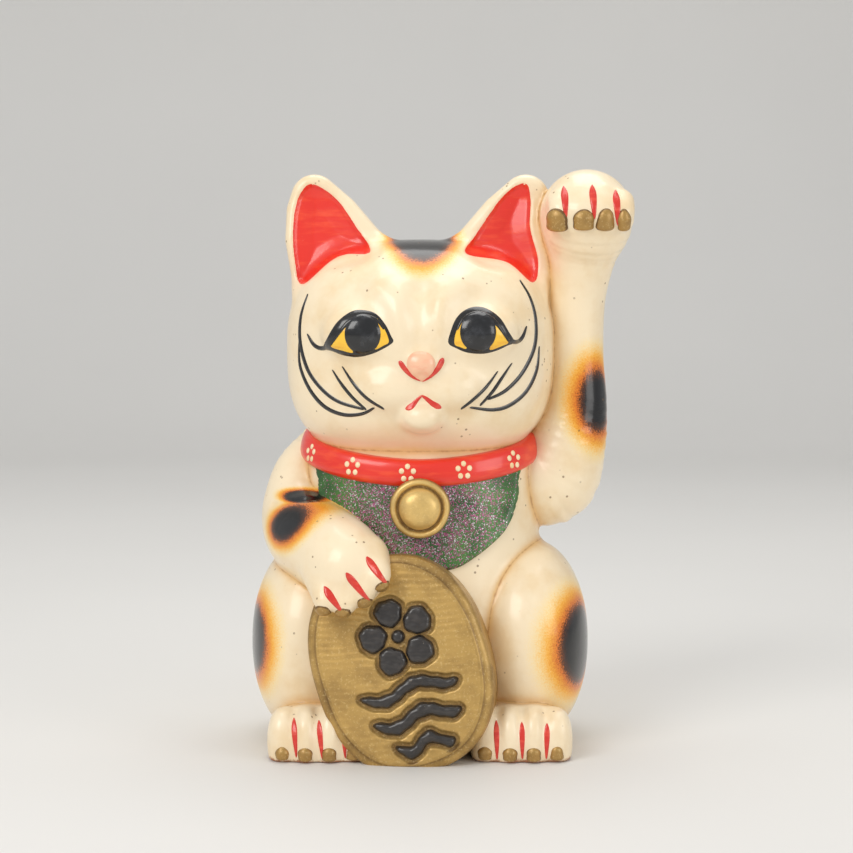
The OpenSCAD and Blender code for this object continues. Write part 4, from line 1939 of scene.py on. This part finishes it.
@dataclass
class Paws:
    """The red strokes between the toes and the gold claws."""

    brush: Brush
    palette: Palette
    plan: Plan
    root: float = 1.6

    def strokes(self) -> None:
        """Three red strokes on each paw and foot."""
        groups = {
            "raised_paw_strokes": ((72, 282.5, 0.6, -16), (85.9, 283.2, 0.8, -16.8),
                                   (97.6, 280.6, 1, -17.4)),
            "lowered_paw_strokes": ((-46.2, 89, 9, -12.8), (-35.6, 96, 11.4, -14),
                                    (-25.8, 103.2, 10.4, -13.4)),
            "right_foot_strokes": ((37.6, 20.2, 0.4, -18.6), (50.2, 19.6, 0.2, -17.6), (62.6, 19, -0.4, -17)),
            "left_foot_strokes": ((-62, 21.2, 1.4, -18.2), (-49.6, 20.4, 1.8, -18), (-37.6, 20, 1, -17.6)),
        }
        for name, lines in groups.items():
            wide = 3.6 if "paw" in name else 2.8
            parts = []
            for x, z, dx, dz in lines:
                line = ((x, z, 0.45 * wide), (x + dx * 0.22, z + dz * 0.25, wide),
                        (x + dx * 0.6, z + dz * 0.62, 0.8 * wide), (x + dx, z + dz, 0.3 * wide))
                parts.append(self.brush.stroke(line, 0.5, 9))
            piece = gathered(name, parts)
            place(piece, "cat", "cream_lacquer")
            self.palette.dress(piece, Coat.LINE)

    def _claw(self, x: float, z: float, wide: float, tall: float, lean: float, proud: float) -> tuple:
        """Sets one claw on the skin.

        Args:
            x: Its middle across, as seen from the front.
            z: Its middle's height.
            wide: Its width.
            tall: Its height.
            lean: How far it turns about its own outward axis, in radians.
            proud: How far it stands out.

        Returns:
            Points, faces and marks.
        """
        on = self.brush.skin.press(np.array([[x, z]]))
        out = self.brush.skin.normal(on, 1.5)[0]
        up = np.array([0, 0, 1.0]) - out[2] * out
        up /= np.linalg.norm(up)
        side = np.cross(up, out)
        c, s = math.cos(lean), math.sin(lean)
        up, side = c * up - s * side, c * side + s * up
        radii = (wide / 2, tall / 2, proud + self.root)
        return bead(on[0] - self.root * out, side, up, out, radii, claw=True)

    def claws(self) -> None:
        """Four gold claws on each paw and foot."""
        x = self.plan.arm
        foot = self.plan.haunch.high[0] - 36
        groups = {
            "raised_paw_claws": [(x - 12.4, 265.6, 11.8, 12, -0.1, 2.4), (x + 1.6, 265.8, 11.2, 11, 0, 2.4),
                                 (x + 12.6, 265.8, 9.6, 11.6, 0, 2.4),
                                 (x + 21.8, 265.6, 7.4, 11.6, 0.1, 2.2)],
            "right_foot_claws": [(foot - 18.4, 4.8, 7.4, 7.6, 0, 1.6), (foot - 6, 4.6, 7.4, 7.6, 0, 1.6),
                                 (foot + 5.6, 4.6, 7.4, 7.6, 0, 1.6), (foot + 17.2, 4.8, 7, 7.6, 0, 1.6)],
            "left_foot_claws": [(-foot - 17.4, 4.8, 7, 7.6, 0, 1.6), (-foot - 6, 4.6, 7.4, 7.6, 0, 1.6),
                                (-foot + 5.8, 4.6, 7.4, 7.6, 0, 1.6), (-foot + 17.8, 4.8, 7.4, 7.6, 0, 1.6)],
            "lowered_paw_claws": [(-47, 77, 8, 6.4, -0.3, 1.6), (-37.6, 75.8, 8, 6.4, 0.2, 1.6),
                                  (-27, 81, 8, 6.4, 0.5, 1.6), (-18, 88.8, 8, 6.4, 0.7, 1.6)],
        }
        for node, claws in groups.items():
            parts = [self._claw(*claw) for claw in claws]
            piece = gathered("cat_" + node, parts)
            place(piece, "cat", "claw_gold", node)
            self.palette.dress(piece, Coat.CLAW)

    def build(self) -> None:
        """Paints and claws every paw."""
        self.strokes()
        self.claws()


# ---- Collar, bib, bell and coin ----


@dataclass
class Regalia:
    """The red collar with its blossoms, the glitter bib and the bell."""

    trunk: Cast
    brush: Brush
    palette: Palette
    plan: Plan
    height: float = 14.6
    proud: float = 4.4
    around: int = 220

    def _path(self, turn: np.ndarray) -> tuple[np.ndarray, np.ndarray, np.ndarray]:
        """Where the collar's middle runs, and its outward and upward directions.

        Args:
            turn: Angles about Z, -90 degrees in front.

        Returns:
            Points on the trunk, outward normals and upward tangents.
        """
        share = (1 + np.sin(turn)) / 2
        z = self.plan.collar.low[2] + 5.8 + 20 * share**0.75

        def at(zs: np.ndarray, angle: np.ndarray) -> np.ndarray:
            """The trunk's surface at heights and angles.

            Args:
                zs: Heights.
                angle: Angles round the body.

            Returns:
                The points.
            """
            wide, front, back = self.trunk.sizes(zs)
            c, s = np.cos(angle), np.sin(angle)
            power = 2 / self.trunk.flat
            deep = np.where(s < 0, front, back)
            return np.column_stack(
                [np.sign(c) * np.abs(c) ** power * wide, np.sign(s) * np.abs(s) ** power * deep, zs]
            )

        up = at(z + 2, turn) - at(z - 2, turn)
        up[:, 2] = 4 * 1.25
        up /= np.linalg.norm(up, axis=1)[:, None]
        along = at(z, turn + 0.01) - at(z, turn - 0.01)
        out = np.cross(along, up)
        out /= np.linalg.norm(out, axis=1)[:, None]
        return at(z, turn), out, up

    def collar(self) -> None:
        """The raised band round the neck."""
        turn = np.linspace(0, math.tau, self.around, endpoint=False) - math.pi / 2
        middle, out, up = self._path(turn)
        across = np.linspace(-1, 1, 15)
        rise = self.proud * (1 - np.abs(across) ** 3.2) ** 0.55
        rings = [
            middle + up * (v * self.height / 2) + out * (0.2 + h) for v, h in zip(across, rise)
        ]
        rings += [middle + up * (v * self.height * 0.42) - out * 3 for v in (0.9, 0, -0.9)]
        piece = add_mesh("cat_collar", np.vstack(rings), ringed(len(rings), self.around, looped=True))
        piece.data.set_sharp_from_angle(angle=math.radians(60))
        place(piece, "cat", "red_lacquer", "collar")
        self.palette.dress(piece, Coat.RED)

    def blossoms(self) -> None:
        """Five-dot flowers set evenly along the collar."""
        dense = np.linspace(0, math.tau, 2000) - math.pi / 2
        middle, _, _ = self._path(dense)
        run = run_of(middle)
        count = 12
        turns = np.interp((np.arange(count) - 0.22) * run[-1] / count % run[-1], run, dense)
        points, out, up = self._path(turns)
        parts = []
        for p, n, u in zip(points, out, up):
            side = np.cross(u, n)
            for k in range(5):
                a = math.tau * k / 5 + math.pi / 2
                spot = p + side * 3.1 * math.cos(a) + u * 3.3 * math.sin(a)
                tilt = 1 - abs(math.sin(a) * 3.3 / (self.height / 2)) ** 3.2
                parts.append(bead(spot + n * (self.proud * tilt**0.55 + 0.05), side, u, n, (1.4, 1.55, 0.65)))
        piece = gathered("collar_blossoms", parts)
        place(piece, "cat", "red_lacquer")
        self.palette.dress(piece, Coat.BLOSSOM)

    def bib(self) -> None:
        """The bib's film with its raised hem."""
        loop = ((-50, 143), (-51, 134), (-50.4, 127), (-44.7, 112.3), (-30, 97.6), (-16, 92.2), (-0.9, 90.7),
                (14, 92), (25, 96.3), (42.3, 109.8), (48.8, 124.8), (49.4, 134), (48.4, 143), (24, 141),
                (0, 140), (-24, 141))
        flat = outline(loop, 1.0)
        trunk = Brush(Figure([Casting("trunk", 0, [(Way.JOIN, self.trunk, 0)])], 0), self.brush.step)
        part = trunk.film(flat, 1.5, 1.4, 0.7, 1.6)
        piece = gathered("cat_bib", [part])
        place(piece, "cat", "glitter_green", "bib")
        self.palette.dress(piece, Coat.GLITTER)

    def bell(self) -> None:
        """The domed bell with its rolled rim."""
        box = self.plan.bell
        x, z = box.middle[0], box.middle[2]
        front, back = box.low[1], box.high[1]
        r = box.size[0] / 2
        profile = (
            (0.01, front), (r * 0.2, front + 0.2), (r * 0.38, front + 0.8), (r * 0.54, front + 2),
            (r * 0.66, front + 4), (r * 0.71, front + 6.4), (r * 0.755, front + 6.9),
            (r * 0.81, front + 5.8), (r * 0.885, front + 5.4), (r * 0.96, front + 6.2), (r, front + 8),
            (r * 0.97, front + 10), (r * 0.9, back - 0.8), (r * 0.8, back), (0.01, back),
        )
        line = spline(profile, 70)
        line[:, 0] = np.clip(line[:, 0], 0.01, r)
        line[:, 1] = np.clip(line[:, 1], front, back)
        count = 72
        turn = np.linspace(0, math.tau, count, endpoint=False)
        dent = 1 + 0.008 * np.sin(3 * turn + 0.6) + 0.005 * np.sin(5 * turn)
        rings = [
            np.column_stack([x + q * np.cos(turn) * dent, np.full(count, y), z + q * np.sin(turn) * dent])
            for q, y in line
        ]
        faces = ringed(len(rings), count)
        last = (len(rings) - 1) * count
        faces.append(list(range(count))[::-1])
        faces.append([last + i for i in range(count)])
        depth = np.repeat(line[:, 0] / r, count)
        # Painted shade with tarnish: dark in the groove round the dome and on the rim's rolled outer edge.
        patina = 0.9 * np.exp(-(((depth - 0.73) / 0.06) ** 2)) + 0.75 * smoothstep(0.9, 1.0, depth)
        piece = add_mesh("cat_bell", np.vstack(rings), faces, None, {"patina": patina})
        piece.data.set_sharp_from_angle(angle=math.radians(60))
        place(piece, "cat", "bell_gold", "bell")
        self.palette.dress(piece, Coat.BELL)

    def build(self) -> None:
        """Puts on the collar, the bib and the bell."""
        self.collar()
        self.blossoms()
        self.bib()
        self.bell()


def bead(
    centre: np.ndarray, a: np.ndarray, b: np.ndarray, c: np.ndarray, radii: Sequence[float],
    claw: bool = False,
) -> tuple:
    """A small ellipsoid with its axes along a, b and c, or a claw that is blunt at the -b end.

    Args:
        centre: Its middle.
        a: Its first axis.
        b: Its second axis.
        c: Its third axis.
        radii: Its radius along each.
        claw: Whether to give it a claw's form.

    Returns:
        Points, faces and marks.
    """
    bowl = bmesh.new()
    bmesh.ops.create_icosphere(bowl, subdivisions=4 if claw else 2, radius=1)
    unit = np.array([v.co for v in bowl.verts])
    edge = np.zeros(len(unit))
    if claw:
        at = unit[:, 1]
        round_ = np.sqrt(np.maximum(1 - at**2, 1e-6))
        blunt = np.sqrt(np.clip(1 - np.abs(at) ** 7, 1e-3, 1))
        plump = np.where(at > 0, round_ ** 0.9 * (1 - 0.16 * at), blunt)
        plump = plump * (1 + 0.05 * np.sin(4 * at + centre[0]))
        unit[:, (0, 2)] *= (plump / round_)[:, None]
        # Painted shade with tarnish: a claw is darker towards its foot, where it meets the skin.
        edge = smoothstep(0.62, 0.25, unit[:, 2])
    faces = [[v.index for v in f.verts] for f in bowl.faces]
    bowl.free()
    axes = np.array([a, b, c]) * np.array(radii)[:, None]
    if np.linalg.det(axes) < 0:
        faces = [f[::-1] for f in faces]
    return centre + unit @ axes, faces, {"patina": edge}


@dataclass
class Koban:
    """The oval coin with its hammered face, bevelled rim and black relief."""

    palette: Palette
    plan: Plan
    yaw: float = -6.0
    lean: float = 7.0
    tilt: float = 18.0
    half_w: float = 43.5
    half_l: float = 54.0
    bevel: float = 5.0
    thick: float = 9.0
    deep: float = 38.0
    square: float = 2.35
    relief: float = 1.7

    def __post_init__(self) -> None:
        """Works out the coin's frame: x across, y along, z out of its face."""
        centre = np.array([-10.0, self.plan.foot.low[1] - 0.1, 49.1])

        def turn(axis: int, degrees: float) -> np.ndarray:
            """A rotation matrix.

            Args:
                axis: The axis to turn about.
                degrees: How far.

            Returns:
                The matrix.
            """
            c, s = math.cos(math.radians(degrees)), math.sin(math.radians(degrees))
            u, v = (axis + 1) % 3, (axis + 2) % 3
            made = np.eye(3)
            made[u, u] = made[v, v] = c
            made[u, v], made[v, u] = -s, s
            return made

        self.turned = turn(2, self.yaw) @ turn(0, 90 - self.lean) @ turn(2, self.tilt)
        self.centre = centre
        self.drawings = self._drawings()

    def world(self, local: np.ndarray) -> np.ndarray:
        """Moves local points into the figure."""
        return local @ self.turned.T + self.centre

    def _drawings(self) -> list[np.ndarray]:
        """Outlines of the relief: a five-petal blossom over three waves.

        Returns:
            The outlines, in the coin's own plane.
        """
        loops = []
        turn = np.linspace(0, math.tau, 60, endpoint=False)
        middle = np.array([3.5, 13.5])
        for k in range(5):
            a = math.radians(90 + 72 * k + 6)
            at = middle + 12.4 * np.array([math.cos(a), math.sin(a)])
            wobble = 7.1 * (1 + 0.05 * np.sin(3 * turn + k) + 0.03 * np.sin(7 * turn + 2 * k))
            loops.append(at + np.column_stack([np.cos(turn), np.sin(turn)]) * wobble[:, None])
        loops.append(middle + 3.5 * np.column_stack([np.cos(turn), np.sin(turn)]))
        for y, length, wide in ((-12.5, 50, 6.6), (-26.5, 45, 7.2), (-40, 30, 6.8)):
            x = np.linspace(-length / 2, length / 2, 60)
            mid = y + 2.6 * np.sin(x / length * math.tau * 1.5 + 0.8)
            half = wide / 2 * np.sqrt(np.clip(1 - np.abs(2 * x / length) ** 5, 0.0, 1))
            half *= 1 + 0.08 * np.sin(x * 0.9 + y)
            upper = np.column_stack([x + 1, mid + half])
            lower = np.column_stack([x + 1, mid - half])[::-1]
            loops.append(np.vstack([upper, lower[1:-1]]))
        return [evenly(loop, 1.1, closed=True) for loop in loops]

    def _near(self, flat: np.ndarray) -> np.ndarray:
        """Distance from the nearest drawing, negative inside."""
        return np.min([edge_distance(flat, loop) for loop in self.drawings], axis=0)

    def face_height(self, flat: np.ndarray, near: np.ndarray | None = None) -> np.ndarray:
        """Height of the coin's face: crowned, hammered in ridges, and sunk round the relief.

        Args:
            flat: Points in the coin's own plane.
            near: Their distances from the relief.

        Returns:
            The heights.
        """
        x, y = flat[:, 0], flat[:, 1]
        edge = np.clip(1 - (np.abs(x / self.half_w) ** 2.3 + np.abs(y / self.half_l) ** 2.3), 0, 1)
        crown = 1.6 * edge - 0.6
        wander = 0.9 * np.sin(x * 0.11 + 0.5) + 0.5 * np.sin(x * 0.23 + 1.7)
        level = y + 0.32 * x + wander
        ridges = 0.13 * np.sin(level * math.tau / 3.3) * smoothstep(0, 0.14, edge)
        ridges *= 0.55 + 0.45 * np.sin(x * 0.21 + y * 0.13) * np.sin(x * 0.09 - y * 0.17 + 1)
        near = self._near(flat) if near is None else near
        moat = 1.35 * smoothstep(2.6, 0.9, near)
        return crown + ridges - moat

    def coin(self) -> None:
        """The coin's block, cut level at the foot."""
        rings, count = ((92, 380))
        turn = np.linspace(0, math.tau, count, endpoint=False)
        cs, sn = np.cos(turn), np.sin(turn)
        power = 2 / self.square
        unit = np.column_stack([np.sign(cs) * np.abs(cs) ** power, np.sign(sn) * np.abs(sn) ** power])
        inner = np.array([self.half_w - self.bevel, self.half_l - self.bevel])
        points, patina = [], []
        for share in np.linspace(0, 1, rings + 1)[1:]:
            flat = unit * inner * share
            near = self._near(flat)
            points.append(np.column_stack([flat, self.face_height(flat, near)]))
            # Painted shade with tarnish: darker in the moat round the relief and at the face's edge.
            patina.append(0.75 * smoothstep(3.4, 0.6, near) + 0.45 * (share > 0.975))
        start = points[-1][:, 2]
        # Each step of the bevel: how far it drops, how far it grows, and how dark it is with tarnish and
        # painted shade.
        profile = ((0.15, 0.4, 0.5), (0.7, 0.8, 0.75), (1.0, 1.5, 0.62), (1.4, 2.6, 0.5), (2.1, 3.7, 0.5),
                   (3.2, 4.6, 0.55), (4.6, self.bevel, 0.6), (9, 5.15, 0.5), (self.deep, 4.9, 0.4))
        for drop, grow, dark in profile:
            worn = 0.12 * np.sin(5 * turn + 1) + 0.08 * np.sin(11 * turn + grow)
            flat = unit * (inner + grow + worn[:, None] * (drop < 4))
            z = np.where(drop < 3, start * (1 - grow / self.bevel), 0) - drop
            points.append(np.column_stack([flat, z]))
            patina.append(np.full(count, dark))
        levels = len(points)
        middle = np.array([[0, 0, self.face_height(np.zeros((1, 2)))[0]], [0, 0, -self.deep]])
        cloud = self.world(np.vstack(points + [middle]))
        marks = np.concatenate(patina + [[0.4, 0.4]])
        faces = [face[::-1] for face in ringed(levels, count)]
        last = (levels - 1) * count
        for i in range(count):
            j = (i + 1) % count
            faces.append([levels * count, i, j])
            faces.append([levels * count + 1, last + j, last + i])
        piece = add_mesh("cat_coin", cloud, faces, None, {"patina": marks})
        self._level(piece)
        piece.data.set_sharp_from_angle(angle=math.radians(48))
        place(piece, "cat", "coin_gold", "coin")
        self.palette.dress(piece, Coat.COIN)

    @staticmethod
    def _level(piece: bpy.types.Object) -> None:
        """Cuts a piece off at the ground and closes it.

        Args:
            piece: The piece.
        """
        bowl = bmesh.new()
        bowl.from_mesh(piece.data)
        every = bowl.verts[:] + bowl.edges[:] + bowl.faces[:]
        cut = bmesh.ops.bisect_plane(
            bowl, geom=every, plane_co=(0, 0, 0), plane_no=(0, 0, 1), clear_inner=True
        )
        edges = [e for e in cut["geom_cut"] if isinstance(e, bmesh.types.BMEdge)]
        bmesh.ops.contextual_create(bowl, geom=edges)
        bmesh.ops.recalc_face_normals(bowl, faces=bowl.faces[:])
        bowl.to_mesh(piece.data)
        bowl.free()

    def emblem(self) -> None:
        """The black blossom and waves."""
        parts = []
        step = 1.0
        for loop in self.drawings:
            flat, faces = filled(loop, step, 0.6)
            away = np.maximum(-edge_distance(flat, loop), 0)
            base = self.face_height(flat, np.full(len(flat), -1.0))
            rise = (self.relief + 1.1) * np.sqrt(1 - (1 - np.clip(away / 2.6, 0, 1)) ** 2)
            ripple = 0.12 * np.sin(flat[:, 0] * 1.1) * np.sin(flat[:, 1] * 0.9)
            top = np.column_stack([flat, base + 0.1 + rise + ripple * (away > 0.8)])
            under = np.column_stack([flat, base - 0.8])
            both = self.world(np.vstack([top, under]))
            parts.append((both, backed(flat, faces), {"patina": np.zeros(len(both))}))
        piece = gathered("cat_coin_emblem", parts)
        place(piece, "cat", "black_lacquer", "coin_emblem")
        self.palette.dress(piece, Coat.RELIEF)

    def build(self) -> None:
        """Makes the coin and its relief."""
        self.coin()
        self.emblem()


# ---- Studio ----


@dataclass
class Studio:
    """A pale floor, soft lights and the camera."""

    elevation: float = 5.0
    distance: float = 1.224
    target: tuple[float, float, float] = (0.0033, 0.0, 0.1596)
    lens: float = 100.0

    def floor(self) -> None:
        """A wide pale floor that sweeps up behind."""
        line = [(-3.0, 0.0), (1.4, 0.0)]
        bend = np.linspace(0.1, math.pi / 2, 12)
        line += [(1.4 + 0.6 * math.sin(a), 0.6 - 0.6 * math.cos(a)) for a in bend]
        line.append((2.0, 3.0))
        points = [(x, y, z) for x in (-3.0, 3.0) for y, z in line]
        count = len(line)
        faces = [[i, i + count, i + count + 1, i + 1] for i in range(count - 1)]
        mesh = bpy.data.meshes.new("floor")
        mesh.from_pydata(points, [], faces)
        mesh.shade_smooth()
        floor = bpy.data.objects.new("floor", mesh)
        bpy.context.scene.collection.objects.link(floor)
        shop = Shop("floor_paper")
        soft = shop.noise(3, 2)
        colour = shop.mix(soft, tone(222, 220, 216), tone(228, 226, 222))
        mesh.materials.append(shop.finish(Base_Color=colour, Roughness=0.6))

    def lights(self) -> None:
        """A big soft key from the upper left, a fill and a top light."""
        spec = (
            ("key", (-0.9, -1.15, 1.15), 0.9, 13.5),
            ("fill", (1.25, -0.95, 0.55), 0.8, 5.5),
            ("top", (0.1, 0.35, 1.5), 1.0, 9.0),
        )
        for name, spot, size, power in spec:
            lamp = bpy.data.lights.new(name, "AREA")
            lamp.size = size
            lamp.energy = power
            lamp.color = (1.0, 0.985, 0.96)
            made = bpy.data.objects.new(name, lamp)
            made.location = spot
            aim = Vector((0, 0, 0.14)) - Vector(spot)
            made.rotation_euler = aim.to_track_quat("-Z", "Y").to_euler()
            bpy.context.scene.collection.objects.link(made)
        world = bpy.data.worlds.new("studio")
        world.use_nodes = True
        world.node_tree.nodes["Background"].inputs[0].default_value = (0.95, 0.97, 1.0, 1)
        world.node_tree.nodes["Background"].inputs[1].default_value = 0.55
        bpy.context.scene.world = world
        bpy.context.scene.view_settings.view_transform = "Standard"

    def camera(self) -> None:
        """The camera in front, a little above."""
        data = bpy.data.cameras.new("camera")
        data.lens = self.lens
        data.sensor_width = 36.0
        made = bpy.data.objects.new("camera", data)
        e = math.radians(self.elevation)
        aim = Vector(self.target)
        made.location = aim + Vector((0, -math.cos(e), math.sin(e))) * self.distance
        made.rotation_euler = (aim - made.location).to_track_quat("-Z", "Y").to_euler()
        bpy.context.scene.collection.objects.link(made)
        bpy.context.scene.camera = made

    def build(self) -> None:
        """Sets the studio up."""
        self.floor()
        self.lights()
        self.camera()


@dataclass
class Cat:
    """The whole figurine."""

    plan: Plan

    def palette(self) -> Palette:
        """Mixes the finishes, with the spots where they lie on the castings.

        Returns:
            The palette.
        """
        p = self.plan
        spots = (
            Spot((82, -38, 53), (18.5, 21, 19.5), 19),
            Spot((-85.5, -28, 54), (14, 20, 17), 19),
            Spot((p.arm + 10.5, -13, 174), (10.5, 11, 15.5), 16),
            Spot((-59, -43, 113.5), (18, 15, 9.6), 12),
            Spot((-61, -36, 127.5), (14, 12, 2.8), 9),
            Spot((1, -13, 254), (14.5, 34, 16), 15),
            Spot((20, 56, 104), (19, 14, 20), 13),
            Spot((27, 67, 38), (12, 12, 7), 9),
        )
        blushes = (
            Spot((-58, -8, 240), (16, 18, 22)), Spot((56, -8, 240), (16, 18, 22)),
            Spot((0, -40, 158), (60, 40, 13)),
        )
        return Palette(spots, blushes)

    def build(self) -> None:
        """Makes every sub-assembly in order."""
        palette = self.palette()
        sculptor = Sculptor(self.plan)
        figure = sculptor.figure()
        for piece in Kiln(figure, sculptor.slot(), self.plan.plate).fire():
            palette.dress(piece, Coat.CREAM)
        brush = Brush(figure)
        Face(brush, palette).build()
        Paws(brush, palette, self.plan).build()
        trunk = sculptor.trunk().steps[0][1]
        Regalia(trunk, brush, palette, self.plan).build()
        Koban(palette, self.plan).build()
        for node, coat in (("bell_lug", Coat.CLAY), ("base_plate", Coat.CLAY), ("base_stopper", Coat.RUBBER)):
            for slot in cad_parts[node].material_slots:
                slot.material = palette.made[coat]
            LOG.info("%s: the frame's own piece, in %s", node, coat.value)


def main() -> None:
    """Builds the studio and the figurine."""
    logging.basicConfig(level=logging.INFO, format="%(message)s")
    Studio().build()
    Cat(Plan.read()).build()


if __name__ == "__main__":
    main()
